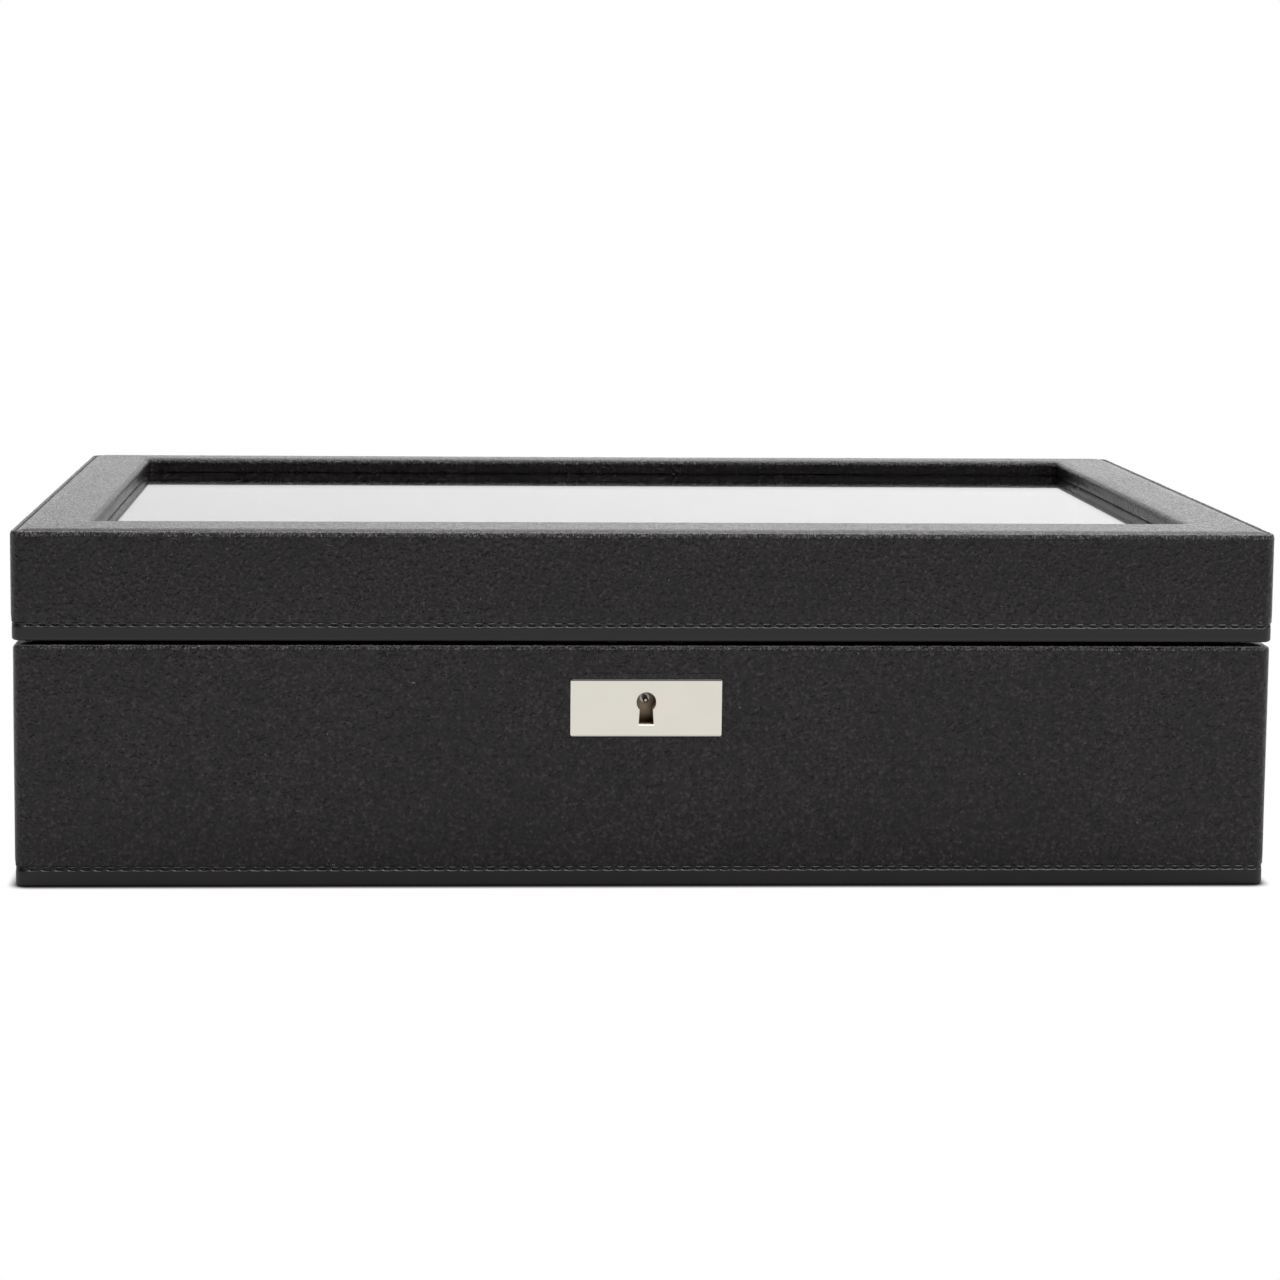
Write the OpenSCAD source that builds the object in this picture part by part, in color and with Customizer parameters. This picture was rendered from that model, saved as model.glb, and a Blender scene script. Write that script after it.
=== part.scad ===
// Watch box with a glazed, hinged lid: a leather-covered wooden case, suede-lined, that holds
// ten watches on loose cushions and locks with a small box lock.
// Millimetres. +Z is up, the front faces -Y, and the origin is the centre of the underside.

/* [Box] */
// Width over the lid's leather
box_w = 337.4; // [300:0.2:380]
// Depth over the lid's leather
box_d = 216; // [200:1:240]
// Height of the base's rim above the surface it stands on
base_h = 65.3; // [63:0.1:75]
// Height of the lid, rim to top
lid_h = 29.1; // [28:0.1:36]
// Gap between the two rims when the lid is shut
rim_gap = 1.2; // [1:0.1:1.6]
// How far the lid overhangs the base on each side
overhang = 0.4; // [0.3:0.1:1]

/* [Construction] */
// Thickness of the wooden walls
wall_t = 8; // [7.5:0.5:9]
// Thickness of the leather
skin = 1; // [0.8:0.1:1]
// Radius of the leather at the upright corners
corner_r = 3; // [2.5:0.5:4]
// Radius of the leather at the rims and the top edge
edge_r = 1.2; // [1:0.1:1.4]
// Height of the smooth binding below the base's stitching
base_binding_h = 5.5; // [4:0.1:6]
// Height of the smooth binding below the lid's stitching
lid_binding_h = 4.9; // [3:0.1:5.5]
// Thickness of the suede-covered lining boards
liner_t = 2.5; // [2:0.1:3]
// Height of the lining lip above the base's rim
lip_h = 4; // [3:0.5:5]

/* [Window] */
// Width of the lid's top frame at the front
rail_front = 24; // [20:0.5:30]
// Width of the lid's top frame at the back
rail_back = 14.5; // [14:0.5:30]
// Width of the lid's top frame at the sides
rail_side = 20; // [18:0.5:30]
// Depth of the glass below the lid's top edge
glass_drop = 4; // [4:0.1:6]
// Thickness of the glass
glass_t = 3; // [2:0.5:4]

/* [Compartments] */
// Compartments along the width
columns = 5; // [5:1:5]
// Thickness of the dividers
divider_t = 3; // [2:0.5:4]
// Height of the dividers' tops above the surface
divider_top = 50; // [40:1:55]
// Width of a watch cushion
cushion_w = 50; // [40:1:52]
// Length of a watch cushion, front to back
cushion_l = 80; // [70:1:82]
// Height of a watch cushion
cushion_h = 46; // [36:1:48]

/* [Lock] */
// Width of the nickel lock plate
plate_w = 40.6; // [36:0.2:46]
// Height of the nickel lock plate
plate_h = 15.5; // [14:0.5:18]
// Height of the keyhole's centre above the surface
key_z = 50.3; // [50:0.1:51]
// Radius of the keyhole's round part
keyhole_r = 2.6; // [2.4:0.1:3]
// Radius of the pin that a hollow key turns on
key_pin_r = 0.75; // [0.6:0.05:1]
// Travel of the bolt
bolt_travel = 4.5; // [4:0.1:4.5]

/* [Hinges] */
// Distance of each hinge from the middle of the box
hinge_x = 105; // [80:1:130]
// Length of a hinge
hinge_l = 30; // [25:1:40]
// Radius of the hinge barrel
barrel_r = 2.4; // [2.2:0.1:2.6]
// Radius of the hinge pin
pin_r = 1; // [0.8:0.1:1.2]
// Opening angle at which the heels of the leaves meet
open_stop = 97; // [95:1:110]

/* [Hidden] */
$fn = 48;

leather_black = [0.13, 0.12, 0.125];
binding_black = [0.16, 0.15, 0.15];
suede_black = [0.1, 0.1, 0.11];
board_brown = [0.62, 0.5, 0.36];
nickel = [0.85, 0.84, 0.8];
brass = [0.72, 0.6, 0.34];
steel = [0.5, 0.5, 0.52];
pane = [0.8, 0.88, 0.9, 0.4];

fit_gap = 0.1;        // between pieces of one body that only touch
move_gap = 0.2;       // between pieces that pass each other
cover_t = 0.5;        // underside cover
floor_t = 3.5;        // floor board
floor_lining_t = 2;   // padded lining on the floor board
turn_in = 10;         // how far the leather turns down inside a rim
turn_under = 12;      // how far the binding turns under the base
binding_inset = 0.2;  // step from the leather down to the binding
seam_inset = 1.4;     // from the lid's outer edge to the seam on its top
panel_step = 0.6;     // how far the top panel stands above the leather at the seam
retainer_t = 3;       // suede-covered card that holds the glass up
arc_steps = 5;

// Base, outside in
base_w = box_w - 2 * overhang;
base_d = box_d - 2 * overhang;
base_wood_w = base_w - 2 * skin;
base_wood_d = base_d - 2 * skin;
wood_z0 = cover_t + skin;
wood_z1 = base_h - skin;
liner_w = base_wood_w - 2 * (wall_t + skin);
liner_d = base_wood_d - 2 * (wall_t + skin);
room_w = liner_w - 2 * liner_t;
room_d = liner_d - 2 * liner_t;
floor_z = wood_z0 + floor_t;
room_z = floor_z + floor_lining_t;
lip_z = base_h + lip_h;

// Lid, outside in
lid_z0 = base_h + rim_gap;
lid_z1 = lid_z0 + lid_h;
lid_wood_w = box_w - 2 * skin;
lid_wood_d = box_d - 2 * skin;
lid_room_w = lid_wood_w - 2 * wall_t;
lid_room_d = lid_wood_d - 2 * wall_t;
glass_z1 = lid_z1 - glass_drop;
glass_z0 = glass_z1 - glass_t;
retainer_z0 = glass_z0 - retainer_t;
window_w = box_w - 2 * rail_side;
window_d = box_d - rail_front - rail_back;
window_y = (rail_front - rail_back) / 2;

// Compartments
cell_w = (room_w - (columns - 1) * divider_t) / columns;
cell_d = (room_d - divider_t) / 2;
half_lap_z = (room_z + divider_top) / 2;

// Lock, from front to back in the base's front wall
leather_front_y = -base_d / 2;
plate_t = 1;
plate_y = leather_front_y - 0.5;
plate_z = key_z - 1.6;
keyhole_slot_z = key_z - 6.1;
case_w = 40;
case_z0 = key_z - 10.8;
case_wall = 0.8;
case_y0 = -base_wood_d / 2 + 1;
case_y1 = -base_wood_d / 2 + wall_t - 0.4;
selvedge_w = 52;
selvedge_t = 1.2;
selvedge_z = base_h - selvedge_t;
link_y = (case_y0 + case_y1) / 2;
link_x = 9;
link_t = 2.5;
bolt_t = 2;
bolt_bar_z = key_z + 4;
bolt_bar_h = 4;
ledge_h = 1;
finger_z = key_z + 10;
finger_h = 2.4;
finger_l = bolt_travel - 0.1;
finger_gap = 0.5;
lock_screw_x = 23;
key_pin_l = 5.3;

// Hinges
axis_y = box_d / 2 + barrel_r + move_gap;
axis_z = base_h + rim_gap / 2;
leaf_gap = 0.05;
leaf_t = rim_gap / 2 + skin - leaf_gap;
leaf_y = box_d / 2 - 8.4;
knuckles = 5;
knuckle_l = hinge_l / knuckles;
heel_r0 = barrel_r + move_gap;
heel_r1 = barrel_r + 1.8;
heel_a0 = open_stop / 2;
heel_a1 = heel_a0 + 26;
hinge_screw_dx = 9.5;

// ---- Helpers ----

function arc(centre, r, a0, a1, steps = arc_steps) = [
    for (i = [0 : steps])
        let (a = a0 + (a1 - a0) * i / steps)
        centre + r * [cos(a), sin(a)]
];

// Outline of one mitred side of a frame that measures w by d outside and is t wide
function frame_side(side, w, d, t) =
    let (x = w / 2, y = d / 2)
    side == "front" ? [[-x, -y], [x, -y], [x - t, t - y], [t - x, t - y]] :
    side == "back" ? [[x, y], [-x, y], [t - x, y - t], [x - t, y - t]] :
    side == "left" ? [[-x, y], [-x, -y], [t - x, t - y], [t - x, y - t]] :
    [[x, -y], [x, y], [x - t, y - t], [x - t, t - y]];

module rounded_rect(w, d, r) {
    square([w - 2 * r, d], center = true);
    square([w, d - 2 * r], center = true);
    for (x = [-1, 1], y = [-1, 1])
        translate([x * (w / 2 - r), y * (d / 2 - r)]) circle(r);
}

module rect_ring(w, d, inner_w, inner_d) {
    difference() {
        square([w, d], center = true);
        square([inner_w, inner_d], center = true);
    }
}

module window_outline(grow) {
    translate([0, window_y]) square([window_w + 2 * grow, window_d + 2 * grow], center = true);
}

module slab(z0, z1) {
    translate([0, 0, z0]) linear_extrude(z1 - z0) children();
}

// Sweeps a profile round a rounded rectangle. The profile's x runs outwards from the corners'
// centres, so r is the outer face, and its y is the height.
module around(w, d, r) {
    for (k = [0 : 3]) {
        across = k % 2 == 0 ? w : d;
        along = k % 2 == 0 ? d : w;
        rotate([0, 0, 90 * k]) translate([across / 2 - r, along / 2 - r, 0]) {
            rotate([90, 0, 0]) linear_extrude(along - 2 * r) children();
            rotate_extrude(angle = 90) children();
        }
    }
}

// Extrudes a profile drawn in Y and Z along +X
module along_x(length) {
    rotate([90, 0, 90]) linear_extrude(length) children();
}

// A slotted, countersunk wood screw with its head at z = 0, pointing down
module wood_screw(length, head_r = 2, shank_r = 1) {
    head_h = head_r - shank_r;
    difference() {
        screw_space(length, head_r, shank_r);
        cube([0.5, 2 * head_r + 1, 2 * head_h / 1.5], center = true);
    }
}

module screw_space(length, head_r = 2, shank_r = 1) {
    head_h = head_r - shank_r;
    tip_h = 1.5;
    translate([0, 0, -head_h]) cylinder(h = head_h, r1 = shank_r, r2 = head_r, $fn = 24);
    translate([0, 0, tip_h - length]) cylinder(h = length - head_h - tip_h, r = shank_r, $fn = 24);
    translate([0, 0, -length]) cylinder(h = tip_h, r1 = 0.3, r2 = shank_r, $fn = 24);
}

// ---- Base ----

module base_wall(side) {
    color(board_brown) difference() {
        slab(wood_z0, wood_z1) intersection() {
            polygon(frame_side(side, base_wood_w, base_wood_d, wall_t));
            rounded_rect(base_wood_w, base_wood_d, corner_r - skin);
        }
        if (side == "front") lock_space();
        if (side == "back") hinge_screw_places() screw_space(10);
    }
}

// Room for the lock in the front wall: its case, selvedge, screws and keyhole
module lock_space() {
    y1 = case_y1 + 2;
    translate([-case_w / 2, case_y0, case_z0])
        cube([case_w, y1 - case_y0, base_h - case_z0]);
    translate([-selvedge_w / 2, case_y0, selvedge_z]) cube([selvedge_w, y1 - case_y0, 5]);
    lock_screw_places() screw_space(10);
    keyhole_space(keyhole_r);
}

module base_floor_board() {
    color(board_brown) slab(wood_z0, floor_z)
        square([base_wood_w - 2 * wall_t, base_wood_d - 2 * wall_t], center = true);
}

module base_leather() {
    color(leather_black) difference() {
        union() {
            around(base_w, base_d, corner_r) polygon(concat(
                [[corner_r - skin, base_binding_h], [corner_r, base_binding_h]],
                arc([corner_r - edge_r, base_h - edge_r], edge_r, 0, 90),
                [[0, base_h], [0, wood_z1], [corner_r - skin, wood_z1]]
            ));
            slab(wood_z1, base_h) rect_ring(
                base_w - 2 * corner_r, base_d - 2 * corner_r, liner_w, liner_d
            );
            slab(base_h - turn_in, wood_z1) rect_ring(
                liner_w + 2 * skin, liner_d + 2 * skin, liner_w, liner_d
            );
        }
        lock_space();
        lock_plate_outline();
        for (x = [-hinge_x, hinge_x]) hinge_recess(x);
    }
}

module hinge_recess(x) {
    depth = 12;
    translate([x - hinge_l / 2 - fit_gap, leaf_y - fit_gap, wood_z1])
        cube([hinge_l + 2 * fit_gap, depth, skin + rim_gap + skin]);
}

module base_edge_binding() {
    r = corner_r - binding_inset;
    color(binding_black) {
        around(base_w - 2 * binding_inset, base_d - 2 * binding_inset, r) polygon(concat(
            [[0, cover_t]],
            arc([r - edge_r, cover_t + edge_r], edge_r, -90, 0),
            [[r, base_binding_h], [corner_r - skin, base_binding_h], [corner_r - skin, wood_z0],
             [0, wood_z0]]
        ));
        slab(cover_t, wood_z0) rect_ring(
            base_w - 2 * corner_r, base_d - 2 * corner_r,
            base_w - 2 * turn_under, base_d - 2 * turn_under
        );
    }
}

module base_underside_cover() {
    edge = 4;
    color(suede_black) {
        slab(0, cover_t) rounded_rect(base_w - 2 * edge, base_d - 2 * edge, corner_r);
        slab(cover_t, wood_z0) square([base_w - 2 * turn_under, base_d - 2 * turn_under], center = true);
    }
}

module base_liner(side) {
    color(suede_black) slab(floor_z, lip_z) polygon(frame_side(side, liner_w, liner_d, liner_t));
}

module base_floor_lining() {
    color(suede_black) slab(floor_z, room_z) square([room_w, room_d], center = true);
}

// ---- Dividers and cushions ----

// Middle of cell or divider number i of a row of n, counted from 1
function row_place(i, n, pitch) = (i - (n + 1) / 2) * pitch;

module long_divider() {
    color(suede_black) difference() {
        translate([-room_w / 2, -divider_t / 2, room_z])
            cube([room_w, divider_t, divider_top - room_z]);
        for (i = [1 : columns - 1])
            translate([
                row_place(i, columns - 1, cell_w + divider_t) - divider_t / 2 - fit_gap,
                -divider_t, half_lap_z
            ]) cube([divider_t + 2 * fit_gap, 2 * divider_t, divider_top]);
    }
}

module cross_divider(i) {
    color(suede_black) translate([row_place(i, columns - 1, cell_w + divider_t), 0, 0]) difference() {
        translate([-divider_t / 2, -room_d / 2, room_z])
            cube([divider_t, room_d, divider_top - room_z]);
        translate([-divider_t, -divider_t / 2 - fit_gap, room_z - 1])
            cube([2 * divider_t, divider_t + 2 * fit_gap, half_lap_z - room_z + 1]);
    }
}

// Cushions 1 to 5 are the front row and 6 to 10 the back row, each from left to right
module watch_cushion(number) {
    column = (number - 1) % columns + 1;
    row = number <= columns ? 1 : 2;
    end_r = 18;
    color(suede_black) translate([
        row_place(column, columns, cell_w + divider_t) - cushion_w / 2,
        row_place(row, 2, cell_d + divider_t),
        room_z + move_gap + cushion_h / 2
    ]) along_x(cushion_w) rounded_rect(cushion_l, cushion_h, end_r);
}

// ---- Lock ----

// Keyhole through everything in front of the lock's case
module keyhole_space(r, y0 = leather_front_y - 5, y1 = case_y0 + 5) {
    translate([0, y0, 0]) rotate([-90, 0, 0]) linear_extrude(y1 - y0) {
        translate([0, -key_z]) circle(r);
        polygon([
            [-1.65, -key_z], [1.65, -key_z],
            [2, -keyhole_slot_z], [-2, -keyhole_slot_z]
        ]);
    }
}

module lock_plate_outline() {
    plate_r = 0.6;
    translate([0, plate_y, plate_z]) rotate([-90, 0, 0])
        linear_extrude(plate_t) rounded_rect(plate_w, plate_h, plate_r);
}

module lock_plate() {
    color(nickel) difference() {
        lock_plate_outline();
        keyhole_space(keyhole_r);
    }
}

module lock_screw_places() {
    for (x = [-lock_screw_x, lock_screw_x]) translate([x, link_y, base_h]) children();
}

module lock_case() {
    color(brass) for (x = [-15, 11]) translate([x, case_y0 + case_wall / 2, bolt_bar_z - ledge_h - move_gap])
        cube([3, case_y1 - case_wall - case_y0 - case_wall, ledge_h]);
    color(brass) difference() {
        union() {
            translate([-case_w / 2, case_y0, case_z0])
                cube([case_w, case_y1 - case_wall - case_y0, selvedge_z - case_z0]);
            translate([-selvedge_w / 2, case_y0, selvedge_z])
                cube([selvedge_w, case_y1 - case_y0, selvedge_t]);
        }
        translate([case_wall - case_w / 2, case_y0 + case_wall, case_z0 + case_wall])
            cube([case_w - 2 * case_wall, case_y1 - case_y0, selvedge_z - case_z0 - case_wall]);
        keyhole_space(keyhole_r);
        lock_screw_places() screw_space(10);
        for (x = [-link_x, link_x]) translate([
            x - link_t / 2 - 2 * move_gap, case_y0 + case_wall, selvedge_z - 1
        ]) cube([link_t + 4 * move_gap, case_y1 - case_y0 - 2 * case_wall, 5]);
    }
}

module lock_cap() {
    color(brass) difference() {
        translate([-case_w / 2, case_y1 - case_wall, case_z0])
            cube([case_w, case_wall, selvedge_z - case_z0]);
        translate([0, case_y1, key_z]) rotate([90, 0, 0]) cylinder(h = 5, r = key_pin_r, center = true);
    }
}

// Riveted through the cap, with a collar behind and a domed tip in the keyhole
module lock_key_pin() {
    color(steel) translate([0, case_y1 - case_wall, key_z]) rotate([90, 0, 0]) rotate_extrude()
        polygon(concat(
            [[0, -case_wall], [key_pin_r, -case_wall], [key_pin_r, 0], [1.3, 0], [1.3, 0.6]],
            [[key_pin_r, 0.6], [key_pin_r, key_pin_l - 0.5]],
            [[key_pin_r - 0.15, key_pin_l - 0.2], [0.35, key_pin_l], [0, key_pin_l]]
        ));
}

// A bar that the key's bit pushes by the notch in its lower edge, with two fingers that pass
// through the striker's links
module lock_bolt() {
    post_w = 2.2;
    tip_dx = -link_t / 2 - finger_gap;
    bar_x0 = tip_dx - finger_l - post_w - link_x;
    bar_x1 = 14;
    notch_w = 5;
    notch_h = 2;
    notch_x = -bolt_travel / 2;
    color(steel) translate([0, link_y - bolt_t / 2, 0]) difference() {
        union() {
            translate([bar_x0, 0, bolt_bar_z]) cube([bar_x1 - bar_x0, bolt_t, bolt_bar_h]);
            for (x = [-link_x, link_x]) translate([x + tip_dx - finger_l - post_w, 0, 0]) {
                translate([0, 0, bolt_bar_z]) cube([post_w, bolt_t, finger_z + finger_h - bolt_bar_z]);
                translate([0, 0, finger_z]) cube([post_w + finger_l, bolt_t, finger_h]);
            }
        }
        translate([notch_x - notch_w / 2, -1, bolt_bar_z - 1]) cube([notch_w, bolt_t + 2, notch_h + 1]);
    }
}

// Bent strip that bears on the bar's upper edge and holds the bolt where the key leaves it
module lock_spring() {
    strip_t = 0.4;
    foot_x = -5.4;
    nose_x = -2.8;
    end_x = -0.4;
    nose_z = bolt_bar_z + bolt_bar_h + fit_gap;
    top_z = selvedge_z - fit_gap;
    run_z = nose_z + 2;
    color(steel) translate([0, link_y + bolt_t / 2, 0]) rotate([90, 0, 0]) linear_extrude(bolt_t) polygon([
        [foot_x, top_z], [foot_x, run_z], [nose_x - strip_t, nose_z], [nose_x + strip_t, nose_z],
        [end_x, run_z], [end_x - strip_t, run_z + strip_t], [nose_x, nose_z + strip_t],
        [foot_x + strip_t, run_z + strip_t], [foot_x + strip_t, top_z]
    ]);
}

module lock_screws() {
    color(nickel) lock_screw_places() wood_screw(10);
}

// ---- Striker in the lid's front rim ----

striker_t = skin + 0.2;
link_bottom_z = finger_z - 1.4;
link_window_z = finger_z - move_gap;
link_window_h = finger_h + 3 * move_gap;
link_window_d = bolt_t + 3 * move_gap;
link_d = case_y1 - case_y0 - 2 * case_wall - 3 * move_gap;

module striker_screw_places() {
    for (x = [-lock_screw_x, lock_screw_x])
        translate([x, link_y, lid_z0]) rotate([180, 0, 0]) children();
}

module striker_space() {
    translate([-selvedge_w / 2, case_y0, lid_z0 - 1])
        cube([selvedge_w, case_y1 - case_y0, striker_t + 1]);
    striker_screw_places() screw_space(10);
}

module striker_plate() {
    color(nickel) difference() {
        union() {
            translate([-selvedge_w / 2, case_y0, lid_z0])
                cube([selvedge_w, case_y1 - case_y0, striker_t]);
            for (x = [-link_x, link_x])
                translate([x - link_t / 2, link_y - link_d / 2, link_bottom_z])
                    cube([link_t, link_d, lid_z0 - link_bottom_z + 0.5]);
        }
        for (x = [-link_x, link_x])
            translate([x - link_t, link_y - link_window_d / 2, link_window_z])
                cube([2 * link_t, link_window_d, link_window_h]);
        striker_screw_places() screw_space(10);
    }
}

module striker_screws() {
    color(nickel) striker_screw_places() wood_screw(10);
}

// ---- Hinges ----

// The 2D shape between two radii and two angles
module sector(r0, r1, a0, a1) {
    polygon(concat(arc([0, 0], r1, a0, a1, 4), arc([0, 0], r0, a1, a0, 4)));
}

// Screws down into the base's back wall, for both hinges
module hinge_screw_places() {
    for (x = [-hinge_x, hinge_x], dx = [-hinge_screw_dx, 0, hinge_screw_dx])
        translate([x + dx, leaf_y + 3.2, axis_z - leaf_gap]) children();
}

module mirrored_to_lid() {
    translate([0, 0, axis_z]) mirror([0, 0, 1]) translate([0, 0, -axis_z]) children();
}

// One leaf of a stop hinge, about its own pin at the origin. The plate lies below the pin's axis,
// and a heel along the outside of the barrel meets the other leaf's heel when the lid is open.
module leaf(first_knuckle, bore_r) {
    plate_z = -leaf_gap - leaf_t;
    plate_y0 = leaf_y - axis_y;
    clear_y = -barrel_r - move_gap;
    side_gap = 0.15;
    difference() {
        union() {
            translate([-hinge_l / 2, plate_y0, plate_z]) cube([hinge_l, clear_y - plate_y0, leaf_t]);
            for (k = [first_knuckle : 2 : knuckles - 1]) {
                translate([k * knuckle_l - hinge_l / 2 + side_gap, 0, 0]) {
                    length = knuckle_l - 2 * side_gap;
                    translate([0, clear_y - 0.5, plate_z]) cube([length, 0.5 - clear_y, leaf_t]);
                    rotate([0, 90, 0]) cylinder(h = length, r = barrel_r);
                    along_x(length) sector(pin_r + 0.3, heel_r1, -heel_a1, -heel_a0);
                }
            }
            translate([side_gap - hinge_l / 2, 0, 0]) along_x(hinge_l - 2 * side_gap)
                sector(heel_r0, heel_r1, -heel_a1, -heel_a0);
        }
        rotate([0, 90, 0]) cylinder(h = hinge_l + 2, r = bore_r, center = true);
        for (dx = [-hinge_screw_dx, 0, hinge_screw_dx])
            translate([dx, plate_y0 + 3.2, -leaf_gap]) screw_space(10);
    }
}

module hinge_base_leaf(x) {
    color(nickel) translate([x, axis_y, axis_z]) leaf(0, pin_r);
}

module hinge_lid_leaf(x) {
    color(nickel) translate([x, axis_y, axis_z]) mirror([0, 0, 1]) leaf(1, pin_r + 0.05);
}

module hinge_pin(x) {
    head_r = 1.7;
    head_h = 0.8;
    color(steel) translate([x, axis_y, axis_z]) rotate([0, 90, 0]) {
        cylinder(h = hinge_l, r = pin_r, center = true);
        for (end = [-1, 1])
            translate([0, 0, end * (hinge_l + head_h) / 2]) cylinder(h = head_h, r = head_r, center = true);
    }
}

module hinge_base_screws() {
    color(nickel) hinge_screw_places() wood_screw(10);
}

module hinge_lid_screws() {
    color(nickel) mirrored_to_lid() hinge_screw_places() wood_screw(10);
}

// ---- Lid ----

module lid_wall(side) {
    color(board_brown) difference() {
        slab(lid_z0 + skin, glass_z1) intersection() {
            polygon(frame_side(side, lid_wood_w, lid_wood_d, wall_t));
            rounded_rect(lid_wood_w, lid_wood_d, corner_r - skin);
        }
        if (side == "front") striker_space();
        if (side == "back") mirrored_to_lid() hinge_screw_places() screw_space(10);
    }
}

// One board with the window cut out of it
module lid_top_frame() {
    color(board_brown) slab(glass_z1, lid_z1 - skin) difference() {
        rounded_rect(lid_wood_w, lid_wood_d, corner_r - skin);
        window_outline(skin);
    }
}

module lid_glass() {
    edge_gap = 0.5;
    color(pane) slab(glass_z0, glass_z1)
        square([lid_room_w - 2 * edge_gap, lid_room_d - 2 * edge_gap], center = true);
}

module lid_glass_retainer() {
    color(suede_black) slab(retainer_z0, glass_z0) difference() {
        square([lid_room_w, lid_room_d], center = true);
        window_outline(skin);
    }
}

module lid_liner(side) {
    w = lid_room_w - 2 * skin;
    d = lid_room_d - 2 * skin;
    color(suede_black) slab(lip_z + move_gap, retainer_z0) polygon(frame_side(side, w, d, liner_t));
}

module lid_side_leather() {
    color(leather_black) around(box_w, box_d, corner_r) polygon(concat(
        [[corner_r - skin, lid_z0 + lid_binding_h], [corner_r, lid_z0 + lid_binding_h]],
        arc([corner_r - edge_r, lid_z1 - edge_r], edge_r, 0, 90),
        [[corner_r - seam_inset, lid_z1], [corner_r - seam_inset, lid_z1 - skin],
         [corner_r - skin, lid_z1 - skin]]
    ));
}

module lid_top_leather() {
    w = box_w - 2 * seam_inset;
    d = box_d - 2 * seam_inset;
    color(leather_black) {
        slab(lid_z1 - skin, lid_z1 + panel_step) difference() {
            rounded_rect(w, d, corner_r - seam_inset);
            window_outline(0);
        }
        slab(glass_z1, lid_z1 - skin) difference() {
            window_outline(skin);
            window_outline(0);
        }
    }
}

module lid_edge_binding() {
    r = corner_r - binding_inset;
    wood_z = lid_z0 + skin;
    color(binding_black) difference() {
        union() {
            around(box_w - 2 * binding_inset, box_d - 2 * binding_inset, r) polygon(concat(
                [[0, lid_z0]],
                arc([r - edge_r, lid_z0 + edge_r], edge_r, -90, 0),
                [[r, lid_z0 + lid_binding_h], [corner_r - skin, lid_z0 + lid_binding_h],
                 [corner_r - skin, wood_z], [0, wood_z]]
            ));
            slab(lid_z0, wood_z) rect_ring(
                box_w - 2 * corner_r, box_d - 2 * corner_r,
                lid_room_w - 2 * skin, lid_room_d - 2 * skin
            );
            slab(wood_z, lid_z0 + turn_in) rect_ring(
                lid_room_w, lid_room_d, lid_room_w - 2 * skin, lid_room_d - 2 * skin
            );
        }
        striker_space();
        mirrored_to_lid() for (x = [-hinge_x, hinge_x]) hinge_recess(x);
    }
}

base_wall("front");  // base_front_wall
base_wall("back");  // base_back_wall
base_wall("left");  // base_left_wall
base_wall("right");  // base_right_wall
base_floor_board();
base_leather();
base_edge_binding();
base_underside_cover();
base_liner("front");  // base_liner_front
base_liner("back");  // base_liner_back
base_liner("left");  // base_liner_left
base_liner("right");  // base_liner_right
base_floor_lining();
long_divider();
cross_divider(1);  // cross_divider_1
cross_divider(2);  // cross_divider_2
cross_divider(3);  // cross_divider_3
cross_divider(4);  // cross_divider_4
watch_cushion(1);  // watch_cushion_1
watch_cushion(2);  // watch_cushion_2
watch_cushion(3);  // watch_cushion_3
watch_cushion(4);  // watch_cushion_4
watch_cushion(5);  // watch_cushion_5
watch_cushion(6);  // watch_cushion_6
watch_cushion(7);  // watch_cushion_7
watch_cushion(8);  // watch_cushion_8
watch_cushion(9);  // watch_cushion_9
watch_cushion(10);  // watch_cushion_10
lock_plate();
lock_case();
lock_cap();
lock_key_pin();
lock_bolt();
lock_spring();
lock_screws();
striker_plate();
striker_screws();
hinge_base_leaf(-hinge_x);  // hinge_left_base_leaf
hinge_lid_leaf(-hinge_x);  // hinge_left_lid_leaf
hinge_pin(-hinge_x);  // hinge_left_pin
hinge_base_leaf(hinge_x);  // hinge_right_base_leaf
hinge_lid_leaf(hinge_x);  // hinge_right_lid_leaf
hinge_pin(hinge_x);  // hinge_right_pin
hinge_base_screws();
hinge_lid_screws();
lid_wall("front");  // lid_front_wall
lid_wall("back");  // lid_back_wall
lid_wall("left");  // lid_left_wall
lid_wall("right");  // lid_right_wall
lid_top_frame();
lid_glass();
lid_glass_retainer();
lid_liner("front");  // lid_liner_front
lid_liner("back");  // lid_liner_back
lid_liner("left");  // lid_liner_left
lid_liner("right");  // lid_liner_right
lid_side_leather();
lid_top_leather();
lid_edge_binding();
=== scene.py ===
import math

import bmesh
import bpy
import numpy as np
from mathutils import Matrix, Vector, noise


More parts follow.
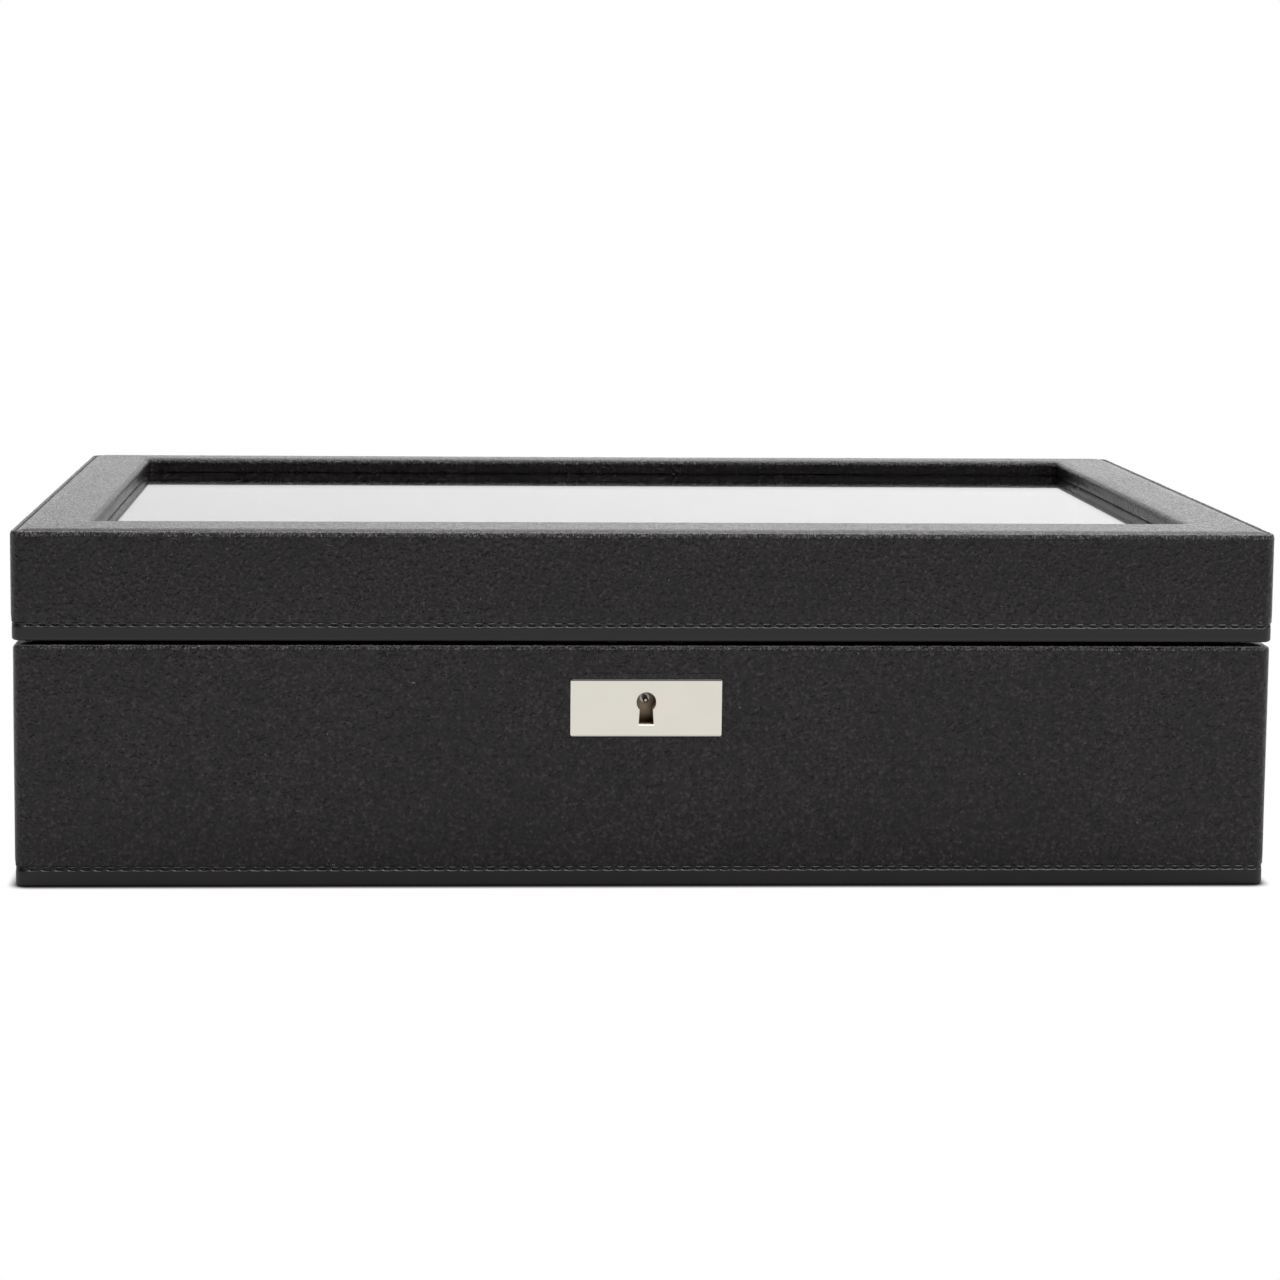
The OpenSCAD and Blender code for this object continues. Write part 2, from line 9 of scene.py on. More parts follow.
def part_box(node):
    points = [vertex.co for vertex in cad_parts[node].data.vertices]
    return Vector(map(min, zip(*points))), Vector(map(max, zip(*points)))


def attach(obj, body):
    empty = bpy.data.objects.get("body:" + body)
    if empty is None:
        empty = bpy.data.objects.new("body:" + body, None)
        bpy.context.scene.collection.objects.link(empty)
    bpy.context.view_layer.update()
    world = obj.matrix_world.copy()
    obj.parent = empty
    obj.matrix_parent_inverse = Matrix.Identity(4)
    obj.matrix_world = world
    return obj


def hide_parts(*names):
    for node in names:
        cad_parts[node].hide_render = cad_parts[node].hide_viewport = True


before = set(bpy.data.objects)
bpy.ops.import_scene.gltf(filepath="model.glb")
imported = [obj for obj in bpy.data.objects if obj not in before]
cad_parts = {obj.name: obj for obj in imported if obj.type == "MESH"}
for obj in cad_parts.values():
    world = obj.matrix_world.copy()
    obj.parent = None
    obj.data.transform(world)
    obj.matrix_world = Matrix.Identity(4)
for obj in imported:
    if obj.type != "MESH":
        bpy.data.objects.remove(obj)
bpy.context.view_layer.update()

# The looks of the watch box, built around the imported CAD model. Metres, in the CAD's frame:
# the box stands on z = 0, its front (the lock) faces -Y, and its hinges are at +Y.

scene = bpy.context.scene

# Without a seed, noise_vector gives other values in each run
noise.seed_set(7)

MM = 0.001

# ---- Sizes that the frame gives ----

BASE_LOW, BASE_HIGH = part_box("base_leather")
LID_LOW, LID_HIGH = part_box("lid_side_leather")
BINDING_LOW, BINDING_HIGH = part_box("base_edge_binding")
RIM_Z = BASE_HIGH.z
TURN_Z = LID_HIGH.z
LID_TOP_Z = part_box("lid_top_leather")[1].z
LID_BINDING_TOP = LID_LOW.z
LID_RIM_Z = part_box("lid_edge_binding")[0].z
GLASS_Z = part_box("lid_glass")[1].z
BASE_W = BASE_HIGH.x - BASE_LOW.x
BASE_D = BASE_HIGH.y - BASE_LOW.y
LID_W = LID_HIGH.x - LID_LOW.x
LID_D = LID_HIGH.y - LID_LOW.y

# ---- Sizes of the leather work ----

SKIN = 1.0 * MM
WALL = 8.0 * MM
RIM_WIDTH = SKIN + WALL + SKIN
RIM_INNER_R = 0.8 * MM
TURN_IN = 10 * MM
CORNER_R = 3.0 * MM
SEAM_INSET = 1.4 * MM
RAIL_FRONT, RAIL_BACK, RAIL_SIDE = 24 * MM, 14.5 * MM, 20 * MM
WINDOW_CORNER_R = 1.6 * MM
BINDING_STEP = 0.2 * MM

# How far apart, how long and how far below the leather's lip the stitches are, how thick the thread
# is, and how deep its middle lies in the binding
STITCH_PITCH = 3.5 * MM
STITCH_LENGTH = 2.75 * MM
STITCH_DROP = 0.7 * MM
THREAD_R = 0.45 * MM
THREAD_SINK = 0.45 * MM

# How deep the leather's grain is on the lid's panel, on the flat sides, on the lip above the stitches
# and round a bent edge, and the value that marks an edge's crest, where a highlight is painted into the
# colour
PRESSED_GRAIN, FLAT_GRAIN, LIP_GRAIN, BENT_GRAIN, CREST_GRAIN = 0.5, 0.6, 1.0, 1.3, 2.0

COLLECTION = scene.collection


# ---- Shader helpers ----

def fill_ramp(ramp, stops):
    """Gives a colour ramp node its stops, each (position, colour)"""
    elements = ramp.color_ramp.elements
    while len(elements) < len(stops):
        elements.new(0.5)
    for element, (position, colour) in zip(elements, stops):
        element.position = position
        element.color = (*colour, 1)


class Look:
    """A Principled material with the few procedural textures that it is built from."""

    def __init__(self, name, colour, roughness, **sockets):
        self.material = bpy.data.materials.new(name)
        self.material.use_nodes = True
        self.tree = self.material.node_tree
        self.shader = self.tree.nodes["Principled BSDF"]
        self.shader.inputs["Base Color"].default_value = (*colour, 1)
        self.shader.inputs["Roughness"].default_value = roughness
        for socket, value in sockets.items():
            self.shader.inputs[socket.replace("_", " ")].default_value = value
        self.height = None
        self.place = self.node("ShaderNodeTexCoord").outputs["Object"]

    def node(self, kind, inputs=None, **settings):
        made = self.tree.nodes.new(kind)
        for key, value in settings.items():
            setattr(made, key, value)
        for key, value in (inputs or {}).items():
            if isinstance(value, bpy.types.NodeSocket):
                self.tree.links.new(value, made.inputs[key])
            else:
                made.inputs[key].default_value = value
        return made

    def noise(self, per_mm, detail=2.0, roughness=0.5, place=None):
        made = self.node("ShaderNodeTexNoise", {
            "Vector": place or self.place, "Scale": per_mm / MM, "Detail": detail, "Roughness": roughness,
        })
        return made.outputs["Fac"]

    def cells(self, per_mm, feature, place, **sockets):
        made = self.node("ShaderNodeTexVoronoi", {"Vector": place, "Scale": per_mm / MM, **sockets},
                         feature=feature)
        return made.outputs["Distance"]

    def warped(self, per_mm, amount_mm):
        """The place, pushed about by a noise, so that cells stop looking like cells"""
        kind = "ShaderNodeVectorMath"
        swirl = self.node("ShaderNodeTexNoise", {"Vector": self.place, "Scale": per_mm / MM, "Detail": 2.0})
        centred = self.node(kind, {0: swirl.outputs["Color"], 1: (0.5, 0.5, 0.5)}, operation="SUBTRACT")
        push = self.node(kind, {0: centred.outputs[0], "Scale": amount_mm * MM}, operation="SCALE")
        return self.node(kind, {0: self.place, 1: push.outputs[0]}, operation="ADD").outputs[0]

    def mapped(self, place, kind="POINT", **sockets):
        """The place, turned and scaled"""
        return self.node("ShaderNodeMapping", {"Vector": place, **sockets}, vector_type=kind).outputs[0]

    def math(self, operation, a, b=0.0):
        return self.node("ShaderNodeMath", {0: a, 1: b}, operation=operation).outputs[0]

    def times(self, a, b):
        return self.math("MULTIPLY", a, b)

    def plus(self, a, b):
        return self.math("ADD", a, b)

    def mixed(self, share, a, b):
        return self.node("ShaderNodeMix", {0: share, 2: a, 3: b}).outputs[0]

    def ranged(self, value, low, high, new_low, new_high):
        """value taken from the range low to high to the range new_low to new_high, and kept in it"""
        made = self.node("ShaderNodeMapRange", {
            "Value": value, "From Min": low, "From Max": high, "To Min": new_low, "To Max": new_high,
        })
        return made.outputs["Result"]

    def bump(self, height, depth_mm, strength=1.0):
        """Adds a relief on top of those added before"""
        made = self.node("ShaderNodeBump", {
            "Height": height, "Distance": depth_mm * MM, "Strength": strength,
        })
        if self.height is not None:
            self.tree.links.new(self.height, made.inputs["Normal"])
        self.height = made.outputs["Normal"]
        self.tree.links.new(self.height, self.shader.inputs["Normal"])

    def roughness_from(self, value, low, high, smooth, rough):
        self.tree.links.new(self.ranged(value, low, high, smooth, rough), self.shader.inputs["Roughness"])

    def ramp(self, value, *stops):
        ramp = self.node("ShaderNodeValToRGB", {"Fac": value})
        fill_ramp(ramp, stops)
        return ramp.outputs["Color"]

    def colour_from(self, value, *stops):
        self.tree.links.new(self.ramp(value, *stops), self.shader.inputs["Base Color"])


def shade(colour, factor):
    return tuple(c * factor for c in colour)


# ---- Materials ----

LEATHER_BLACK = (0.0044, 0.0031, 0.0037)
# A lighter grey, painted on the leather's edges as a highlight
PAINTED_HIGHLIGHT_GREY = (0.095, 0.092, 0.087)


def pebbled_leather():
    """Black calf with a fine pressed grain, and lighter flecks where the finish is thin. Where the
    leather bends round an edge the grain opens into strokes across the bend, and a lighter grey is
    painted as a highlight on their crests and along the edge's crest line. The mesh's grain attribute says
    where that is."""
    look = Look("pebbled_leather", LEATHER_BLACK, 0.3, IOR=1.38)
    opening = look.node("ShaderNodeAttribute", attribute_name="grain").outputs["Fac"]
    bent = look.ranged(opening, LIP_GRAIN, BENT_GRAIN, 0.0, 1.0)
    pressed_flat = look.ranged(opening, PRESSED_GRAIN, FLAT_GRAIN, 1.0, 0.0)
    dome = pressed_grain(look, opening)
    crests = strokes(look)
    look.bump(look.times(crests, bent), 0.4, 0.95)
    look.bump(look.times(look.noise(1.3, 2.0, 0.6), pressed_flat), 0.12, 0.8)

    patches = look.noise(0.035, 3.0)
    roughness = look.ranged(look.plus(dome, patches), 0.9, 1.6, 0.34, 0.24)
    mottled = look.ranged(look.noise(1.5, 1.0), 0.35, 0.65, 0.35, 1.5)
    polish = look.mixed(pressed_flat, 1.0, look.times(mottled, 0.72))
    look.tree.links.new(look.times(roughness, polish), look.shader.inputs["Roughness"])

    tone = look.plus(look.times(patches, 0.12), look.times(look.noise(1.1, 1.0, 0.5), 0.88))
    flecked = look.ramp(tone, (0.38, shade(LEATHER_BLACK, 0.2)), (0.5, LEATHER_BLACK),
                        (0.62, shade(LEATHER_BLACK, 2.3)), (0.70, shade(LEATHER_BLACK, 6.0)))
    # A lighter grey is mixed into the colour along the edge's crest and on the stroke crests of a bent edge:
    # a painted highlight, standing in for light caught there
    painted_crest_highlight = look.times(look.ranged(opening, BENT_GRAIN, CREST_GRAIN, 0.0, 1.2),
                        look.ranged(crests, 0.3, 0.55, 0.3, 1.2))
    painted_stroke_glints = look.times(look.ranged(crests, 0.53, 0.66, 0.0, 1.0), bent)
    painted_highlight_share = look.math("MAXIMUM", painted_crest_highlight, painted_stroke_glints)
    colour = look.node("ShaderNodeMix", {0: painted_highlight_share, 6: flecked, 7: (*PAINTED_HIGHLIGHT_GREY, 1)}, data_type="RGBA")
    look.tree.links.new(colour.outputs[2], look.shader.inputs["Base Color"])
    return look.material


def pressed_grain(look, opening):
    """The relief of pebbles half a millimetre across, cut by a net of creases. Gives the domes."""
    place = look.mapped(look.warped(0.9, 0.5), Rotation=(0.5, 0.6, 0.4), Scale=(1.0, 1.35, 0.8))
    pebble = look.cells(1.5, "SMOOTH_F1", place, Smoothness=0.2)
    dome = look.math("SUBTRACT", 1.0, look.math("POWER", pebble, 1.5))
    crease = look.ranged(look.cells(0.85, "DISTANCE_TO_EDGE", place), 0.0, 0.14, 0.0, 1.0)
    raised = look.ranged(look.noise(0.6, 1.0), 0.5, 0.66, 0.45, 1.9)
    look.bump(look.noise(0.09, 3.0), 0.4, 0.3)
    look.bump(look.times(crease, opening), 0.06, 0.5)
    look.bump(look.times(look.times(dome, raised), opening), 0.2, 0.75)
    return dome


def strokes(look):
    """Fine ridges that run slantwise over a bent edge, whichever way the edge faces"""
    runs = []
    for scale, rotation in (((0.36, 1.0, 0.8), (0.0, 0.5, 0.4)), ((1.0, 0.36, 0.8), (0.5, 0.0, 0.4))):
        slanted = look.mapped(look.place, "TEXTURE", Rotation=rotation, Scale=scale)
        runs.append(look.noise(1.0, 2.0, 0.6, slanted))
    normal = look.node("ShaderNodeTexCoord").outputs["Normal"]
    sideways = look.math("ABSOLUTE", look.node("ShaderNodeSeparateXYZ", {0: normal}).outputs["X"])
    return look.mixed(look.ranged(sideways, 0.4, 0.7, 0.0, 1.0), runs[0], runs[1])


def smooth_leather():
    """The binding below the stitching: the same leather, pressed nearly flat"""
    look = Look("smooth_leather", LEATHER_BLACK, 0.35, IOR=1.42)
    patches = look.noise(0.12, 3.0)
    look.bump(look.noise(0.3, 3.0), 0.08, 0.4)
    look.bump(look.noise(1.6, 4.0, 0.6), 0.04, 0.5)
    look.roughness_from(patches, 0.3, 0.7, 0.30, 0.42)
    look.colour_from(patches, (0.35, shade(LEATHER_BLACK, 0.9)), (0.65, shade(LEATHER_BLACK, 1.2)))
    return look.material


def suede(name, black):
    """Brushed suede: a short nap that lies in patches, lighter where it is stroked the other way"""
    look = Look(name, black, 0.95, IOR=1.35, Sheen_Weight=0.35, Sheen_Roughness=0.55)
    look.shader.inputs["Sheen Tint"].default_value = (0.30, 0.29, 0.31, 1)
    warped = look.warped(0.05, 9.0)
    stroked = look.noise(0.045, 4.0, 0.6, warped)
    nap = look.noise(2.6, 5.0, 0.7)
    look.bump(look.noise(0.25, 3.0), 0.25, 0.3)
    look.bump(nap, 0.12, 0.6)
    tone = look.plus(look.times(stroked, 0.75), look.times(nap, 0.25))
    look.colour_from(tone, (0.36, shade(black, 0.62)), (0.5, black), (0.66, shade(black, 1.75)))
    return look.material


def thread():
    """Waxed black thread"""
    look = Look("waxed_thread", (0.0035, 0.003, 0.003), 0.5, IOR=1.2)
    look.bump(look.noise(5.0, 3.0), 0.04, 0.7)
    look.roughness_from(look.noise(1.5, 2.0), 0.3, 0.7, 0.38, 0.6)
    return look.material


def metal(name, colour, roughness, scratch=0.3, tarnish=0.9):
    """Plated or bare metal with faint hairlines and a slightly uneven polish"""
    look = Look(name, colour, roughness, Metallic=1.0)
    cloudy = look.noise(0.16, 4.0, 0.6)
    hairlines = look.noise(1.6, 3.0, place=look.mapped(look.place, Scale=(1.0, 1.0, 14.0)))
    look.bump(hairlines, 0.004, scratch)
    look.roughness_from(cloudy, 0.3, 0.7, roughness * 0.8, roughness * 1.35)
    look.colour_from(cloudy, (0.3, shade(colour, tarnish)), (0.7, colour))
    return look.material


def fibreboard():
    look = Look("fibreboard", (0.42, 0.30, 0.19), 0.8)
    fibre = look.noise(1.1, 6.0, 0.75, look.warped(0.3, 2.0))
    look.bump(fibre, 0.1, 0.5)
    look.roughness_from(fibre, 0.3, 0.7, 0.72, 0.88)
    look.colour_from(fibre, (0.3, (0.30, 0.205, 0.125)), (0.7, (0.50, 0.37, 0.25)))
    return look.material


def clear_glass():
    look = Look("clear_glass", (0.97, 0.985, 0.98), 0.0, IOR=1.52, Transmission_Weight=1.0)
    look.bump(look.noise(0.012, 2.0), 0.05, 0.05)
    return look.material


LEATHER = pebbled_leather()
BINDING = smooth_leather()
SUEDE = suede("lining_suede", (0.0105, 0.0098, 0.0108))
CUSHION_SUEDE = suede("cushion_suede", (0.0125, 0.0117, 0.0128))
THREAD = thread()
NICKEL = metal("polished_nickel", (0.622, 0.599, 0.540), 0.07, 0.15, 0.97)
BRASS = metal("dull_brass", (0.27, 0.21, 0.145), 0.36, 0.5, 0.7)
STEEL = metal("bright_steel", (0.42, 0.40, 0.38), 0.25, 0.5, 0.8)
# Steel for the striker, darkened to near black: a painted shade, so that the striker reads as the dark gap
# between lid and base
GAP_SHADE_STEEL = metal("steel_painted_as_gap_shade", (0.010, 0.0095, 0.009), 0.5, 0.4, 0.8)
BOARD = fibreboard()
GLASS = clear_glass()


# ---- Mesh helpers ----

def piece(name, mesh, material, body, replaces=(), smooth_angle=40):
    """A visible piece. A smooth_angle of None leaves the mesh's own normals."""
    obj = bpy.data.objects.new(name, mesh)
    COLLECTION.objects.link(obj)
    mesh.materials.clear()
    mesh.materials.append(material)
    if smooth_angle is not None:
        mesh.shade_smooth()
        mesh.set_sharp_from_angle(angle=math.radians(smooth_angle))
    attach(obj, body)
    if replaces:
        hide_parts(*replaces)
    return obj


def settled(obj):
    """The object's mesh with its modifiers applied, as a new mesh"""
    bpy.context.view_layer.update()
    graph = bpy.context.evaluated_depsgraph_get()
    return bpy.data.meshes.new_from_object(obj.evaluated_get(graph), depsgraph=graph)


def with_modifiers(mesh, *modifiers):
    """mesh put through modifiers, each given as (type, settings)"""
    obj = bpy.data.objects.new("work", mesh)
    COLLECTION.objects.link(obj)
    for kind, settings in modifiers:
        made = obj.modifiers.new(kind, kind)
        for key, value in settings.items():
            setattr(made, key, value)
    result = settled(obj)
    bpy.data.objects.remove(obj)
    return result


def rounded_loop(w, d, r, y0=0.0):
    """Points round a rounded rectangle, counterclockwise from above. Every loop has the same number
    of points, and points with the same index lie beside each other on nested loops."""
    points = []
    for k in range(4):
        turn = Matrix.Rotation(k * math.pi / 2, 2)
        across, along = (w, d) if k % 2 == 0 else (d, w)
        count = SIDE_COUNTS[k % 2]
        for i in range(count):
            points.append(turn @ Vector((across / 2, (along - 2 * r) * (i / count - 0.5))))
        for i in range(CORNER_COUNT):
            angle = math.pi / 2 * i / CORNER_COUNT
            corner = Vector((across / 2 - r, along / 2 - r))
            points.append(turn @ (corner + r * Vector((math.cos(angle), math.sin(angle)))))
    return np.array([(p.x, p.y + y0) for p in points])


# How many points a loop has along each side, six to a stitch, and round each corner
SIDE_COUNTS = (round(LID_D / (STITCH_PITCH / 6)), round(LID_W / (STITCH_PITCH / 6)))
CORNER_COUNT = 10

# The stations: the points of the lid's outline, and how far along it each one lies
OUTER = rounded_loop(LID_W, LID_D, CORNER_R)
STATIONS = len(OUTER)
STEPS = np.linalg.norm(np.roll(OUTER, -1, axis=0) - OUTER, axis=1)
ALONG = np.concatenate([[0], np.cumsum(STEPS)[:-1]])
PERIMETER = STEPS.sum()
STITCHES = round(PERIMETER / STITCH_PITCH)
# For each station, 0 in the middle of a stitch and 1 between two stitches
BETWEEN = np.abs(((ALONG / PERIMETER * STITCHES) % 1.0) - 0.5) * 2


def lofted(name, loops, grain):
    """Quads between neighbouring loops, and between the last and the first. grain says for each
    loop how deep the leather's grain is there, and the mesh keeps it for the material."""
    count = len(loops)
    first = np.arange(count)[:, None] * STATIONS
    second = (first + STATIONS) % (count * STATIONS)
    here = np.arange(STATIONS)[None, :]
    after = (here + 1) % STATIONS
    quads = np.stack([first + here, first + after, second + after, second + here], axis=-1).reshape(-1, 4)
    mesh = bpy.data.meshes.new(name)
    mesh.vertices.add(count * STATIONS)
    mesh.vertices.foreach_set("co", np.concatenate(loops).astype(np.float32).ravel())
    mesh.loops.add(len(quads) * 4)
    mesh.loops.foreach_set("vertex_index", quads.astype(np.int32).ravel())
    mesh.polygons.add(len(quads))
    mesh.polygons.foreach_set("loop_start", np.arange(0, len(quads) * 4, 4, dtype=np.int32))
    mesh.update(calc_edges=True)
    mesh.validate()
    values = np.repeat(np.array(grain, dtype=np.float32), STATIONS)
    mesh.attributes.new("grain", "FLOAT", "POINT").data.foreach_set("value", values)
    return mesh


def arc(cx, cy, r, a0, a1, steps):
    """(inset, height) points on a circle; angles in degrees, 0 outwards and 90 up"""
    turns = [math.radians(a0 + (a1 - a0) * i / steps) for i in range(steps + 1)]
    return [(cx - r * math.cos(a), cy + r * math.sin(a)) for a in turns]


def run(start, end, step):
    """Points from start to end, without end, about step apart"""
    count = max(1, round(math.dist(start, end) / step))
    return [tuple(a + (b - a) * i / count for a, b in zip(start, end)) for i in range(count)]


def unevenness(points, per_mm, seed):
    """A smooth random value from about -1 to 1 for each point"""
    shift = Vector((seed * 7.3, seed * 3.1, seed * 1.7))
    return np.array([noise.noise(Vector(p) * (per_mm / MM) + shift) for p in points])


def pebbles(points, per_mm, seed):
    """The relief of pressed grain, 0 in the creases and 1 on the domes, for each point"""
    return np.minimum(np.abs(unevenness(points, per_mm, seed)) * 2.4, 1.0)


# ---- Leather ----

NORMALS = OUTER - rounded_loop(LID_W - 2 * MM, LID_D - 2 * MM, CORNER_R - MM)
NORMALS /= np.linalg.norm(NORMALS, axis=1)[:, None]

# How far apart loops are on a plain face, near the stitches, on the rims, and on the lid's panel
FACE_STEP, FINE_STEP, RIM_STEP, PANEL_STEP = 3.0 * MM, 0.45 * MM, 0.8 * MM, 0.5 * MM

LIP_R = 0.35 * MM
PUCKER_REACH = 2.6 * MM
PUCKER = 0.25 * MM
DENT = 0.42 * MM
PAD_REACH = 4.0 * MM


def inset_loop(w, d, inset, z):
    """A loop round a band, that far inside its outline"""
    flat = rounded_loop(w - 2 * inset, d - 2 * inset, max(CORNER_R - inset, 0.05 * MM))
    return np.column_stack([flat, np.full(STATIONS, z)])


def window_loop(grow, z):
    """A loop round the lid's window, grown by that much"""
    flat = rounded_loop(LID_W - 2 * RAIL_SIDE + 2 * grow, LID_D - RAIL_FRONT - RAIL_BACK + 2 * grow,
                        WINDOW_CORNER_R + grow, (RAIL_FRONT - RAIL_BACK) / 2)
    return np.column_stack([flat, np.full(STATIONS, z)])


def outward(amounts):
    """How each point of a loop moves when it goes outwards by its amount"""
    return np.column_stack([NORMALS * amounts[:, None], np.zeros(STATIONS)])


def fade(distance, reach):
    """1 at no distance, 0 from reach on, smooth between"""
    share = min(max(distance / reach, 0.0), 1.0)
    return 1 - share * share * (3 - 2 * share)


def puckered(loop, distance):
    """The leather is drawn in at each stitch and swells between two, less so further off"""
    return loop + outward(fade(abs(distance), PUCKER_REACH) * PUCKER * (BETWEEN ** 2 - 0.75))


def dented(loop, below_seam):
    """The binding is pressed in where a stitch lies on it, and dips where it goes under the lip"""
    across = fade(abs(below_seam - STITCH_DROP), 0.75 * STITCH_DROP)
    dip = fade(below_seam, 0.5 * STITCH_DROP)
    return loop - outward(across * DENT * (1 - BETWEEN ** 3) + dip * 0.15 * MM)


def wavy(loop, seed, amount=0.05 * MM):
    """The slight unevenness of leather glued over wood"""
    return loop + outward(amount * unevenness(loop, 0.045, seed))


def grained(loop, depth, seed):
    """Real pebbles on a loop whose surface faces outwards and up"""
    relief = (pebbles(loop, 0.75, seed) - 0.5) * depth
    return loop + outward(relief) * 0.7 + np.column_stack([np.zeros((STATIONS, 2)), relief * 0.7])


def wandering(loop, seed):
    """A hand-cut edge that strays a little from its line"""
    return loop + outward(0.10 * MM * (unevenness(loop, 0.06, seed) + 0.5 * unevenness(loop, 0.35, seed + 1)))


def padded_fall(distance, depth):
    """How far a padded panel has fallen off at this distance from its edge"""
    return depth * (1 - np.minimum(distance / PAD_REACH, 1)) ** 2


def side_band(name, w, d, seam_z, turn_z, edge, crest, closing, seed):
    """Pebbled leather from just above the stitching, up over the edge at turn_z, and along closing,
    which lists (inset, height) points. Those before the None are seen. edge says how far the edge's
    elliptical rounding reaches inwards and downwards. crest gives the height above which the edge
    gets a painted highlight, and how many points of closing get it too."""
    edge_in, edge_down = edge
    crest_z, crest_count = crest
    fine_z = seam_z + 3 * MM
    bend_z = turn_z - edge_down - 0.2 * MM
    side = arc(LIP_R, seam_z + LIP_R, LIP_R, -90, 0, 4)[:-1]
    side += run((0.0, seam_z + LIP_R), (0.0, fine_z), FINE_STEP)
    side += run((0.0, fine_z), (0.0, bend_z), FACE_STEP) + [(0.0, bend_z)]
    bend = [(inset * edge_in, turn_z + (z - 1) * edge_down) for inset, z in arc(1, 0, 1, 0, 90, 9)]
    seen = closing[:closing.index(None)]
    hidden = closing[len(seen) + 1:]
    loops, grain = [inset_loop(w, d, SKIN, seam_z)], [FLAT_GRAIN]
    for inset, z in side:
        loops.append(wavy(puckered(inset_loop(w, d, inset, z), z - seam_z), seed))
        grain.append(FLAT_GRAIN + (LIP_GRAIN - FLAT_GRAIN) * fade(z - seam_z, 2 * MM))
    for inset, z in bend:
        loops.append(grained(wavy(inset_loop(w, d, inset, z), seed), 0.12 * MM, seed))
        grain.append(BENT_GRAIN if z < crest_z else CREST_GRAIN)
    for index, (inset, z) in enumerate(seen):
        loops.append(wavy(inset_loop(w, d, inset, z), seed))
        grain.append(CREST_GRAIN if index < crest_count else FLAT_GRAIN)
    loops += [inset_loop(w, d, inset, z) for inset, z in hidden]
    return lofted(name, loops, grain + [FLAT_GRAIN] * len(hidden))


def lid_side_leather():
    """The lid's side band, turned over the top edge as a low bead and tucked into the seam"""
    roll_r = 0.5 * MM
    top = TURN_Z + 0.1 * MM
    end = SEAM_INSET - 0.10 * MM
    closing = arc(end - roll_r, top - roll_r, roll_r, 85, 180, 5)
    closing += [None, (end, TURN_Z - SKIN), (SKIN, TURN_Z - SKIN)]
    return side_band("lid_side_leather_skin", LID_W, LID_D, LID_BINDING_TOP, top,
                     (0.75 * MM, 1.35 * MM), (top - 0.3 * MM, 2), closing, 1)


def lid_top_leather():
    """The panel on the lid's top frame, from the seam to the window and down to the glass. It is
    slightly padded, so it falls off towards the seam and towards the window."""
    roll_r, edge_r, tuck_r = 0.5 * MM, 1.2 * MM, 0.35 * MM
    outer_fall, inner_fall = 0.6 * MM, 0.3 * MM
    start = SEAM_INSET + 0.05 * MM
    loops = [inset_loop(LID_W, LID_D, start, TURN_Z - SKIN)]
    for inset, z in arc(start + roll_r, LID_TOP_Z - outer_fall - roll_r, roll_r, 0, 75, 5):
        loops.append(wandering(inset_loop(LID_W, LID_D, inset, z), 3))
    grain = [FLAT_GRAIN] * len(loops)
    outer, inner = loops[-1], window_loop(edge_r, LID_TOP_Z)
    width = np.linalg.norm((inner - outer)[:, :2], axis=1)
    steps = round(RAIL_FRONT / PANEL_STEP)
    for i in range(1, steps):
        share = i / steps
        loop = outer * (1 - share) + inner * share
        relief = 0.04 * pebbles(loop, 0.8, 4) + 0.01 * unevenness(loop, 0.42, 7)
        relief += 0.03 * unevenness(loop, 0.04, 5)
        fall = padded_fall(share * width, outer_fall) + padded_fall((1 - share) * width, inner_fall)
        loop[:, 2] = LID_TOP_Z - fall + (relief - 0.10) * MM
        loops.append(loop)
    soft = outward(0.05 * MM * unevenness(inner, 0.12, 6))
    turn = [window_loop(edge_r + grow, z) + soft
            for grow, z in arc(0, LID_TOP_Z - inner_fall - edge_r, edge_r, 82, 0, 7)]
    grain += [PRESSED_GRAIN] * (steps - 1) + [BENT_GRAIN] * len(turn)
    wall = [window_loop(0.0, GLASS_Z + 1.4 * MM)]
    wall += [window_loop(grow, z) for grow, z in arc(tuck_r, GLASS_Z + tuck_r, tuck_r, 0, -90, 3)]
    wall += [window_loop(SKIN, GLASS_Z), window_loop(SKIN, TURN_Z - SKIN)]
    return lofted("lid_top_leather_panel", loops + turn + wall, grain + [FLAT_GRAIN] * len(wall))


def base_leather():
    """The base's side band, turned over the slightly crowned rim and down inside"""
    edge_in, edge_down, crown = 1.2 * MM, 1.1 * MM, 0.45 * MM
    turn = RIM_WIDTH - RIM_INNER_R
    low = RIM_Z - TURN_IN
    closing = []
    for inset, z in run((edge_in + 0.5 * MM, RIM_Z), (turn, RIM_Z), RIM_STEP):
        share = (inset - edge_in) / (turn - edge_in)
        closing.append((inset, z + crown * math.sin(math.pi * share)))
    closing += arc(turn, RIM_Z - RIM_INNER_R, RIM_INNER_R, 90, 180, 5)
    closing += [(RIM_WIDTH, low), None, (RIM_WIDTH - SKIN, low), (RIM_WIDTH - SKIN, RIM_Z - SKIN),
                (SKIN, RIM_Z - SKIN)]
    return side_band("base_leather_skin", BASE_W, BASE_D, BINDING_HIGH.z, RIM_Z,
                     (edge_in, edge_down), (RIM_Z - 0.16 * MM, 0), closing, 2)


